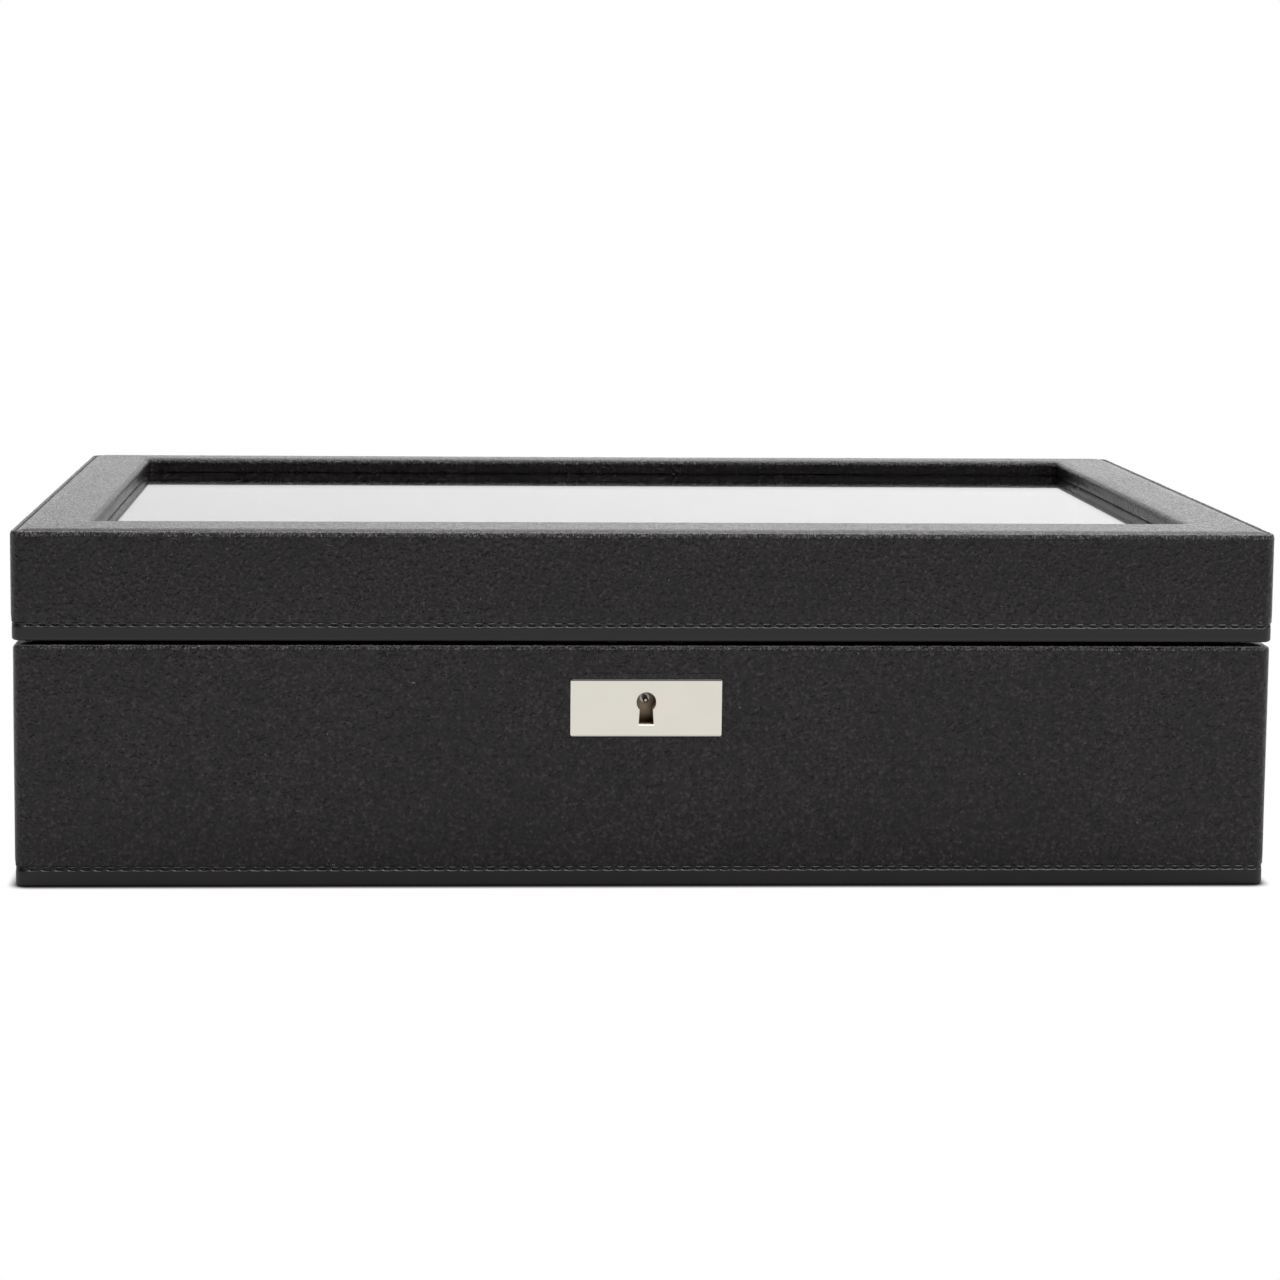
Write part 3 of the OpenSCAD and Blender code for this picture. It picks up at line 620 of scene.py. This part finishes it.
def binding(name, w, d, seam_z, rim_z, inside, seed):
    """The smooth strip from the stitching down to a rim and round it; inside lists the
    (inset, height) points that follow"""
    step, rim_r = BINDING_STEP, 0.8 * MM
    stitched_z = seam_z - 2 * STITCH_DROP
    face = run((step, seam_z), (step, stitched_z), 0.19 * MM)
    face += run((step, stitched_z), (step, rim_z + rim_r), FINE_STEP)
    face += arc(step + rim_r, rim_z + rim_r, rim_r, 0, -90, 7)
    loops = [inset_loop(w, d, SKIN, seam_z)]
    for inset, z in face:
        loops.append(wavy(dented(inset_loop(w, d, inset, z), seam_z - z), seed, 0.04 * MM))
    loops += [inset_loop(w, d, inset, z) for inset, z in inside]
    return lofted(name, loops, [0.0] * len(loops))


def lid_binding():
    """The lid's strip goes round the rim and up inside"""
    turn = RIM_WIDTH - RIM_INNER_R
    high = LID_RIM_Z + TURN_IN
    inside = run((BINDING_STEP + 1.8 * MM, LID_RIM_Z), (turn, LID_RIM_Z), RIM_STEP)
    inside += arc(turn, LID_RIM_Z + RIM_INNER_R, RIM_INNER_R, -90, -180, 5)
    inside += [(RIM_WIDTH, high), (RIM_WIDTH - SKIN, high), (RIM_WIDTH - SKIN, LID_RIM_Z + SKIN),
               (SKIN, LID_RIM_Z + SKIN)]
    return binding("lid_edge_binding_strip", LID_W, LID_D, LID_BINDING_TOP, LID_RIM_Z, inside, 11)


def base_binding():
    """The strip sags to the floor at its outer edge, just outside the underside's cover"""
    turn, sag_end, rest = 12 * MM, 3.4 * MM, 0.04 * MM
    under = BINDING_LOW.z
    inside = run((BINDING_STEP + 2.0 * MM, rest), (sag_end, rest), 0.6 * MM)
    inside += run((sag_end + 0.5 * MM, under), (turn, under), 2 * MM)
    inside += [(turn, under), (turn, under + SKIN), (SKIN, under + SKIN)]
    return binding("base_edge_binding_strip", BASE_W, BASE_D, BINDING_HIGH.z, rest, inside, 12)


def cut_boxes(mesh, boxes):
    """mesh without what lies in the boxes, each (lowest corner, highest corner)"""
    cutter_mesh = bpy.data.meshes.new("cutter")
    builder = bmesh.new()
    for low, high in boxes:
        place = Matrix.Translation((low + high) / 2) @ Matrix.Diagonal((*(high - low), 1))
        bmesh.ops.create_cube(builder, size=1.0, matrix=place)
    builder.to_mesh(cutter_mesh)
    builder.free()
    cutter = bpy.data.objects.new("cutter", cutter_mesh)
    COLLECTION.objects.link(cutter)
    result = with_modifiers(mesh, ("BOOLEAN", {"object": cutter, "solver": "MANIFOLD"}))
    bpy.data.objects.remove(cutter)
    return result


def grown(box, x, y, z):
    """The box made larger by that much on each side"""
    low, high = box
    return low - Vector((x, y, z)), high + Vector((x, y, z))


def between(box, axis, low, high):
    """The box with its extent along one axis replaced"""
    first, second = box[0].copy(), box[1].copy()
    first[axis], second[axis] = low, high
    return first, second


def leather_pieces():
    """The bands and panels, with the places cut for the plate, the lock and the hinges"""
    gap, through = 0.08 * MM, SKIN + 0.2 * MM
    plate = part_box("lock_plate")
    base_cuts = [between(grown(plate, gap, 0, gap), 1, plate[0].y - MM, plate[1].y + MM)]
    for node in ("lock_case", "hinge_left_base_leaf", "hinge_right_base_leaf"):
        base_cuts.append(between(grown(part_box(node), gap, gap, 0), 2, RIM_Z - through, RIM_Z + MM))
    lid_cuts = []
    for node in ("striker_plate", "hinge_left_lid_leaf", "hinge_right_lid_leaf"):
        lid_cuts.append(between(grown(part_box(node), gap, gap, 0), 2, LID_RIM_Z - MM, LID_RIM_Z + through))
    piece("base_leather_skin", cut_boxes(base_leather(), base_cuts), LEATHER, "case",
          ["base_leather"])
    piece("base_edge_binding_strip", base_binding(), BINDING, "case",
          ["base_edge_binding"])
    piece("lid_side_leather_skin", lid_side_leather(), LEATHER, "lid",
          ["lid_side_leather"])
    piece("lid_top_leather_panel", lid_top_leather(), LEATHER, "lid",
          ["lid_top_leather"])
    piece("lid_edge_binding_strip", cut_boxes(lid_binding(), lid_cuts), BINDING, "lid",
          ["lid_edge_binding"])


# ---- Stitching ----

def stitch_shape(rings, sides):
    """One stitch along +X, half a length either side of 0: (along, out, up) points, ring by ring.
    It rises out of one hole, lies slightly aslant, and dives into the next."""
    slant, dive = 0.16 * MM, 0.45 * MM
    points = []
    for i in range(rings):
        t = 2 * i / (rings - 1) - 1
        out = -dive * abs(t) ** 4
        radius = THREAD_R * (1 - 0.45 * abs(t) ** 6)
        for k in range(sides):
            angle = 2 * math.pi * k / sides
            strand = 1 + 0.10 * math.cos(2 * angle + 9 * t)
            points.append((t * STITCH_LENGTH / 2, out + radius * strand * math.sin(angle),
                           -slant * t + radius * strand * math.cos(angle)))
    return np.array(points)


def stitching(name, w, d, z, seed):
    """A row of stitches right round the box, below the leather's lip at z. No two lie quite alike."""
    rings, sides = 11, 8
    shape = stitch_shape(rings, sides)
    line = inset_loop(w, d, BINDING_STEP + THREAD_SINK, z - STITCH_DROP)
    rng = np.random.default_rng(seed)
    vertices, faces = [], []
    for index in range(STITCHES):
        centre = (index + 0.5 + rng.uniform(-0.03, 0.03)) / STITCHES * PERIMETER
        lift, slope = rng.uniform(-0.08, 0.04) * MM, rng.uniform(0.5, 1.5)
        along = (centre + shape[:, 0]) % PERIMETER
        station = np.searchsorted(ALONG, along, side="right") - 1
        share = ((along - ALONG[station]) / STEPS[station])[:, None]
        after = (station + 1) % STATIONS
        places = line[station] * (1 - share) + line[after] * share
        normal = NORMALS[station] * (1 - share) + NORMALS[after] * share
        places[:, :2] += normal * (shape[:, 1] + lift)[:, None]
        places[:, 2] += shape[:, 2] * min(slope, 1.0)
        first = len(vertices) * rings * sides
        vertices.append(places)
        for i in range(rings - 1):
            for k in range(sides):
                a, b = first + i * sides + k, first + i * sides + (k + 1) % sides
                faces.append((a, a + sides, b + sides, b))
        faces.append(tuple(first + k for k in range(sides)))
        faces.append(tuple(first + (rings - 1) * sides + k for k in reversed(range(sides))))
    mesh = bpy.data.meshes.new(name)
    mesh.from_pydata(np.concatenate(vertices).tolist(), [], faces)
    mesh.update()
    return mesh


def stitching_pieces():
    piece("base_stitching", stitching("base_stitching", BASE_W, BASE_D, BINDING_HIGH.z, 21), THREAD,
          "case")
    piece("lid_stitching", stitching("lid_stitching", LID_W, LID_D, LID_BINDING_TOP, 22), THREAD,
          "lid")


# ---- Pieces softened from the CAD ----

def softened(node, width_mm, segments):
    """The CAD node's mesh with its sharp edges rounded, as a new mesh"""
    builder = bmesh.new()
    builder.from_mesh(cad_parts[node].data)
    bmesh.ops.remove_doubles(builder, verts=builder.verts, dist=0.002 * MM)
    bmesh.ops.dissolve_limit(builder, angle_limit=math.radians(1.5), verts=builder.verts,
                             edges=builder.edges)
    mesh = bpy.data.meshes.new(node + "_soft")
    builder.to_mesh(mesh)
    builder.free()
    mesh.shade_smooth()
    bevel = {"width": width_mm * MM, "segments": segments, "limit_method": "ANGLE",
             "angle_limit": math.radians(30), "use_clamp_overlap": True}
    return with_modifiers(mesh, ("BEVEL", bevel), ("WEIGHTED_NORMAL", {"weight": 100}))


def soften(nodes, body, material, width_mm, segments):
    """Each CAD node replaced by its softened self"""
    for node in nodes:
        piece(node + "_finished", softened(node, width_mm, segments), material, body, [node], None)


def dress(nodes, material):
    """CAD nodes that stay as they are, with a better material"""
    for node in nodes:
        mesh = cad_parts[node].data
        mesh.materials.clear()
        mesh.materials.append(material)


# ---- Lock plate ----

PLATE_CORNER_R = 0.6 * MM
KEYHOLE_R = 2.6 * MM
KEYHOLE_NECK = 1.76 * MM
KEYHOLE_FOOT = 2.0 * MM
KEYHOLE_DROP = 6.1 * MM


def plate_outline(width, height, inset, middle):
    """(x, z) points round the plate, that far inside its edge; middle is its middle's height"""
    radius = PLATE_CORNER_R - inset
    points = []
    for k in range(4):
        side = Vector((width / 2 - PLATE_CORNER_R, height / 2 - PLATE_CORNER_R))
        corner = Vector((side.x * (1 if k in (0, 3) else -1), side.y * (1 if k < 2 else -1)))
        for i in range(7):
            angle = math.pi / 2 * (k + i / 6)
            points.append(corner + radius * Vector((math.cos(angle), math.sin(angle))))
    return [(p.x, p.y + middle) for p in points]


def keyhole_outline(grow, middle):
    """Round above, with a slot that widens a little towards its foot"""
    start = math.acos(KEYHOLE_NECK / KEYHOLE_R)
    turn = math.pi + 2 * start
    radius = KEYHOLE_R + grow
    points = [(radius * math.cos(turn * i / 40 - start), middle + radius * math.sin(turn * i / 40 - start))
              for i in range(41)]
    foot = middle - KEYHOLE_DROP - grow
    return points + [(-KEYHOLE_FOOT - grow, foot), (KEYHOLE_FOOT + grow, foot)]


def lock_plate_mesh():
    """The plate with a shallow bevel inside its rounded rim, and the keyhole through it. rim and hole
    list (inset or growth, depth) in millimetres."""
    low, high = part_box("lock_plate")
    size = high - low
    middle = (low.z + high.z) / 2
    pin_low, pin_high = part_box("lock_key_pin")
    key_z = (pin_low.z + pin_high.z) / 2
    rim = [(0.0, size.y / MM), (0.0, 0.24), (0.04, 0.13), (0.11, 0.065), (0.18, 0.05), (0.46, 0.0)]
    hole = [(0.1, 0.0), (0.03, 0.03), (0.0, 0.1), (0.0, size.y / MM)]
    builder = bmesh.new()
    outer = [[builder.verts.new((x, low.y + depth * MM, z))
              for x, z in plate_outline(size.x, size.z, inset * MM, middle)] for inset, depth in rim]
    inner = [[builder.verts.new((x, low.y + depth * MM, z)) for x, z in keyhole_outline(grow * MM, key_z)]
             for grow, depth in hole]
    for loops in (outer, inner):
        for first, second in zip(loops, loops[1:]):
            for i in range(len(first)):
                builder.faces.new((first[i - 1], first[i], second[i], second[i - 1]))
    for loops in ((outer[-1], inner[0]), (outer[0], inner[-1])):
        edges = [builder.edges.get((loop[i - 1], loop[i])) for loop in loops for i in range(len(loop))]
        bmesh.ops.triangle_fill(builder, use_beauty=True, edges=edges)
    bmesh.ops.recalc_face_normals(builder, faces=builder.faces)
    mesh = bpy.data.meshes.new("lock_plate_polished")
    builder.to_mesh(mesh)
    builder.free()
    return mesh


# ---- Watch cushions ----

# Points round a cushion, rings between its two seams, and rings on each end panel
CUSHION_AROUND, CUSHION_ACROSS, CAP_RINGS = 72, 14, 7
CUSHION_CORNER_R = 17.5 * MM
SEAM_RINGS = (CAP_RINGS, CAP_RINGS + CUSHION_ACROSS)

# The cloth is simulated at ten times its size, because it moves poorly when it is very small
SIM_SCALE = 10.0
SIM_FRAMES = 16


def rounded_profile(length, height, radius, count):
    """count points, evenly spaced, round a rounded rectangle in the YZ plane about its centre"""
    flat_y, flat_z = length - 2 * radius, height - 2 * radius
    turn = math.pi / 2 * radius
    total = 2 * (flat_y + flat_z) + 4 * turn
    points = []
    for i in range(count):
        rest = total * i / count
        for k in range(4):
            side, reach = (flat_z, length / 2) if k % 2 == 0 else (flat_y, height / 2)
            rotation = Matrix.Rotation(k * math.pi / 2, 2)
            if rest < side:
                points.append(rotation @ Vector((reach, rest - side / 2)))
                break
            rest -= side
            if rest < turn:
                angle = rest / radius
                corner = Vector((reach - radius, side / 2))
                points.append(rotation @ (corner + radius * Vector((math.cos(angle), math.sin(angle)))))
                break
            rest -= turn
    return np.array([(p.x, p.y) for p in points])


def cushion_form(width, length, height, seed):
    """Rings of points from one end panel's middle across to the other's, a little rough"""
    profile = rounded_profile(length, height, CUSHION_CORNER_R, CUSHION_AROUND)
    rings = []
    for k in range(CAP_RINGS + 1):
        share = (k + 0.35) / (CAP_RINGS + 0.35)
        bulge = 1.2 * MM * (1 - share ** 2)
        rings.append((-width / 2 - bulge, share))
    for i in range(1, CUSHION_ACROSS):
        rings.append((-width / 2 + width * i / CUSHION_ACROSS, 1.0))
    rings += [(-x, share) for x, share in reversed(rings[:CAP_RINGS + 1])]
    points = np.array([(x, y * share, z * share) for x, share in rings for y, z in profile])
    rough = np.array([noise.noise_vector(Vector(p) * 60 + Vector((seed, 0, 0))) for p in points])
    return points + rough * 0.35 * MM


def ring_mesh(name, points, around):
    """A closed mesh over rings of points, with its two ends filled"""
    rings = len(points) // around
    faces = [(r * around + i, (r + 1) * around + i, (r + 1) * around + (i + 1) % around,
              r * around + (i + 1) % around) for r in range(rings - 1) for i in range(around)]
    faces.append(tuple(range(around)))
    faces.append(tuple((rings - 1) * around + i for i in reversed(range(around))))
    mesh = bpy.data.meshes.new(name)
    mesh.from_pydata(points.tolist(), [], faces)
    mesh.update()
    return mesh


def inflated(points):
    """The points after a cloth simulation that blows the cover up from inside. The seams shrink, so
    the cover puckers along them."""
    mesh = ring_mesh("cushion_cloth", points * SIM_SCALE, CUSHION_AROUND)
    obj = bpy.data.objects.new("cushion_cloth", mesh)
    COLLECTION.objects.link(obj)
    seam = obj.vertex_groups.new(name="seam")
    for ring in SEAM_RINGS:
        seam.add(list(range(ring * CUSHION_AROUND, (ring + 1) * CUSHION_AROUND)), 1.0, "ADD")
    cloth = obj.modifiers.new("cloth", "CLOTH")
    settings = cloth.settings
    settings.quality = 6
    settings.mass = 0.3
    settings.tension_stiffness = 18
    settings.compression_stiffness = 18
    settings.shear_stiffness = 8
    settings.bending_stiffness = 1.2
    settings.use_pressure = True
    settings.uniform_pressure_force = 3.0
    settings.effector_weights.gravity = 0
    settings.vertex_group_shrink = "seam"
    settings.shrink_min = 0.0
    settings.shrink_max = 0.07
    cloth.point_cache.frame_start = 1
    cloth.point_cache.frame_end = SIM_FRAMES
    for number in range(1, SIM_FRAMES + 1):
        scene.frame_set(number)
    result = settled(obj)
    moved = np.empty(len(points) * 3)
    result.vertices.foreach_get("co", moved)
    bpy.data.objects.remove(obj)
    bpy.data.meshes.remove(result)
    scene.frame_set(1)
    shift = moved.reshape(-1, 3) / SIM_SCALE - points
    length = np.linalg.norm(shift, axis=1)[:, None]
    cap = 4 * MM
    return points + shift * np.minimum(1, cap / np.maximum(length, 1e-9))


def cushion_points(size, seed):
    """One cushion's rings, centred, fitted into the size that the CAD gives it"""
    points = cushion_form(size.x * 0.93, size.y * 0.95, size.z * 0.93, seed)
    points = inflated(points)
    for ring in SEAM_RINGS:
        here = slice(ring * CUSHION_AROUND, (ring + 1) * CUSHION_AROUND)
        points[here, 1:] *= 0.985
    half = np.array(size) / 2 - 0.15 * MM
    spread = np.abs(points).max(axis=0)
    points *= np.minimum(1.0, half / spread)
    points[:, 2] -= points[:, 2].min() + half[2]
    return points


def piping(ring_points, radius):
    """A covered cord along a seam"""
    sides = 8
    centre = ring_points.mean(axis=0)
    count = len(ring_points)
    vertices = []
    for i, point in enumerate(ring_points):
        along = ring_points[(i + 1) % count] - ring_points[i - 1]
        along /= np.linalg.norm(along)
        out = point - centre
        out -= along * out.dot(along)
        out[0] = 0
        out /= np.linalg.norm(out)
        across = np.cross(along, out)
        for k in range(sides):
            turn = 2 * math.pi * k / sides
            vertices.append(point + radius * (math.cos(turn) * out + math.sin(turn) * across))
    faces = [(i * sides + k, i * sides + (k + 1) % sides, (i + 1) % count * sides + (k + 1) % sides,
              (i + 1) % count * sides + k) for i in range(count) for k in range(sides)]
    return vertices, faces


def cushion_pieces():
    """Ten cushions from three simulated covers, every other one turned round, with piped seams"""
    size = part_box("watch_cushion_1")[1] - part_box("watch_cushion_1")[0]
    variants = [cushion_points(size, seed) for seed in (3, 8, 14)]
    for index in range(10):
        low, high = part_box(f"watch_cushion_{index + 1}")
        middle = np.array((low + high) / 2)
        flip = 1 if index % 2 == 0 else -1
        points = variants[index % 3] * np.array([flip, flip, 1]) + middle
        mesh = with_modifiers(ring_mesh("cushion", points, CUSHION_AROUND), ("SUBSURF", {"levels": 1}))
        cushion = piece(f"cushion_{index + 1}_cover", mesh, CUSHION_SUEDE, f"cushion_{index + 1}",
                        [f"watch_cushion_{index + 1}"], 180)
        vertices, faces = [], []
        for ring in SEAM_RINGS:
            here = points[ring * CUSHION_AROUND:(ring + 1) * CUSHION_AROUND]
            more, quads = piping(here, 0.75 * MM)
            faces += [tuple(v + len(vertices) for v in quad) for quad in quads]
            vertices += more
        cord = bpy.data.meshes.new("piping")
        cord.from_pydata([tuple(v) for v in vertices], [], faces)
        cord.update()
        piece(f"cushion_{index + 1}_piping", cord, CUSHION_SUEDE, f"cushion_{index + 1}",
              smooth_angle=180)


# ---- Floor, light and camera ----

# How bright the studio is in front of the box and behind it, its lamp, and its ceiling light. Then
# how bright the floor is for the box, close by and further off, a painted shade that dims its glow near the
# box; for the camera it is 1.
STUDIO_FRONT, STUDIO_BACK, STUDIO_LAMP, STUDIO_CEILING = 0.2, 1.15, 8.5, 10.0
FLOOR_NEAR, FLOOR_FAR = 0.45, 1.15
# How far the painted contact shadow and the painted dimming reach
CONTACT_REACH, DIMMING_REACH = 3 * MM, 150 * MM


def floor_material():
    """White, with a painted contact shadow where something stands within a few millimetres. For the box
    a painted shade dims its glow close by, less further off."""
    material = bpy.data.materials.new("white_floor")
    material.use_nodes = True
    nodes, links = material.node_tree.nodes, material.node_tree.links
    nodes.clear()
    openness = nodes.new("ShaderNodeAmbientOcclusion")
    openness.inputs["Distance"].default_value = CONTACT_REACH
    openness.samples = 16
    # Painted contact shadow: the glow's colour darkens with the occlusion close by
    painted_contact_shadow = nodes.new("ShaderNodeValToRGB")
    fill_ramp(painted_contact_shadow, ((0.0, (0.01, 0.009, 0.008)), (0.55, (0.17, 0.16, 0.15)),
                       (0.8, (0.66, 0.645, 0.63)), (0.97, (1, 1, 1))))
    # Painted shade: for rays other than the camera's, the glow is dimmer near the box
    clearing = nodes.new("ShaderNodeAmbientOcclusion")
    clearing.inputs["Distance"].default_value = DIMMING_REACH
    brightness = nodes.new("ShaderNodeMapRange")
    brightness.inputs["From Min"].default_value = 0.5
    brightness.inputs["To Min"].default_value = FLOOR_NEAR
    brightness.inputs["To Max"].default_value = FLOOR_FAR
    strength = nodes.new("ShaderNodeMix")
    strength.inputs[3].default_value = 1.0
    glow = nodes.new("ShaderNodeEmission")
    output = nodes.new("ShaderNodeOutputMaterial")
    links.new(clearing.outputs["AO"], brightness.inputs["Value"])
    links.new(nodes.new("ShaderNodeLightPath").outputs["Is Camera Ray"], strength.inputs[0])
    links.new(brightness.outputs["Result"], strength.inputs[2])
    links.new(strength.outputs[0], glow.inputs["Strength"])
    links.new(openness.outputs["AO"], painted_contact_shadow.inputs["Fac"])
    links.new(painted_contact_shadow.outputs["Color"], glow.inputs["Color"])
    links.new(glow.outputs[0], output.inputs["Surface"])
    return material


def white_floor():
    """A floor as white as the backdrop"""
    bpy.ops.mesh.primitive_plane_add(size=8.0, location=(0, 0, 0))
    floor = bpy.context.object
    floor.name = "floor"
    floor.data.materials.append(floor_material())


def studio():
    """A white room, a little brighter to the right, that is dark in front of the box and above the
    camera. A lamp hangs there, and a second light on the ceiling. The camera sees pure white."""
    world = bpy.data.worlds.new("studio")
    scene.world = world
    world.use_nodes = True
    nodes, links = world.node_tree.nodes, world.node_tree.links
    nodes.clear()
    direction = nodes.new("ShaderNodeTexCoord").outputs["Generated"]

    def towards(where, start, end, low, high):
        """low away from a direction and high towards it, by the cosine of the angle to it"""
        facing = nodes.new("ShaderNodeVectorMath")
        facing.operation = "DOT_PRODUCT"
        facing.inputs[1].default_value = Vector(where).normalized()
        links.new(direction, facing.inputs[0])
        ramp = nodes.new("ShaderNodeMapRange")
        ramp.interpolation_type = "SMOOTHSTEP"
        for socket, value in zip(("From Min", "From Max", "To Min", "To Max"), (start, end, low, high)):
            ramp.inputs[socket].default_value = value
        links.new(facing.outputs["Value"], ramp.inputs["Value"])
        return ramp.outputs["Result"]

    def joined(operation, first, second):
        made = nodes.new("ShaderNodeMath")
        made.operation = operation
        links.new(first, made.inputs[0])
        links.new(second, made.inputs[1])
        return made.outputs[0]

    walls = joined("MULTIPLY", towards((-0.12, -0.6, 0.8), 0.15, 0.55, STUDIO_BACK, STUDIO_FRONT),
                   towards((1, 0, 0), -0.3, 0.3, 0.87, 1.08))
    lamp = towards((0.2, -0.62, 0.76), 0.92, 0.975, 0.0, STUDIO_LAMP)
    ceiling = towards((0.25, 0.3, 0.92), 0.92, 0.985, 0.0, STUDIO_CEILING)
    room = nodes.new("ShaderNodeBackground")
    links.new(joined("ADD", joined("ADD", walls, lamp), ceiling), room.inputs["Strength"])
    backdrop = nodes.new("ShaderNodeBackground")
    for node in (room, backdrop):
        node.inputs["Color"].default_value = (1, 1, 1, 1)
    mix = nodes.new("ShaderNodeMixShader")
    links.new(nodes.new("ShaderNodeLightPath").outputs["Is Camera Ray"], mix.inputs[0])
    links.new(room.outputs[0], mix.inputs[1])
    links.new(backdrop.outputs[0], mix.inputs[2])
    output = nodes.new("ShaderNodeOutputWorld")
    links.new(mix.outputs[0], output.inputs["Surface"])


def camera():
    """In front of the box, a little to the left of its middle and above it"""
    data = bpy.data.cameras.new("camera")
    data.sensor_width = 36.0
    data.lens = 90.14
    data.shift_x = 0.0619
    data.shift_y = -0.1094
    data.clip_start = 0.01
    obj = bpy.data.objects.new("camera", data)
    obj.location = (-0.0599, -0.9510, 0.1948)
    obj.rotation_euler = [math.radians(a) for a in (83.889, -0.455, -2.437)]
    COLLECTION.objects.link(obj)
    scene.camera = obj
    scene.view_settings.view_transform = "Standard"
    scene.view_settings.look = "None"


# ---- The whole box ----

def nodes_with(*endings):
    """The names of the CAD nodes that begin or end with one of these words"""
    return [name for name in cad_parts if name.startswith(endings) or name.endswith(endings)]


leather_pieces()
stitching_pieces()
piece("lock_plate_polished", lock_plate_mesh(), NICKEL, "case", ["lock_plate"], 9)
soften(nodes_with("base_liner", "_divider", "cross_divider"), "case", SUEDE, 0.7, 3)
soften(nodes_with("lid_liner", "lid_glass_retainer"), "lid", SUEDE, 0.6, 3)
soften(["lid_glass"], "lid", GLASS, 0.3, 1)
soften(["base_floor_lining"], "case", SUEDE, 0.8, 3)
soften(["base_underside_cover"], "case", SUEDE, 0.2, 1)
cushion_pieces()
dress(nodes_with("_wall", "base_floor_board", "lid_top_frame"), BOARD)
dress(["lock_case", "lock_cap"], BRASS)
dress(["lock_key_pin", "lock_bolt", "lock_spring", "hinge_left_pin", "hinge_right_pin"], STEEL)
# The striker's near-black colour is painted shade for the gap between lid and base
dress(["striker_plate"], GAP_SHADE_STEEL)
dress(nodes_with("_leaf", "_screws"), NICKEL)
white_floor()
studio()
camera()
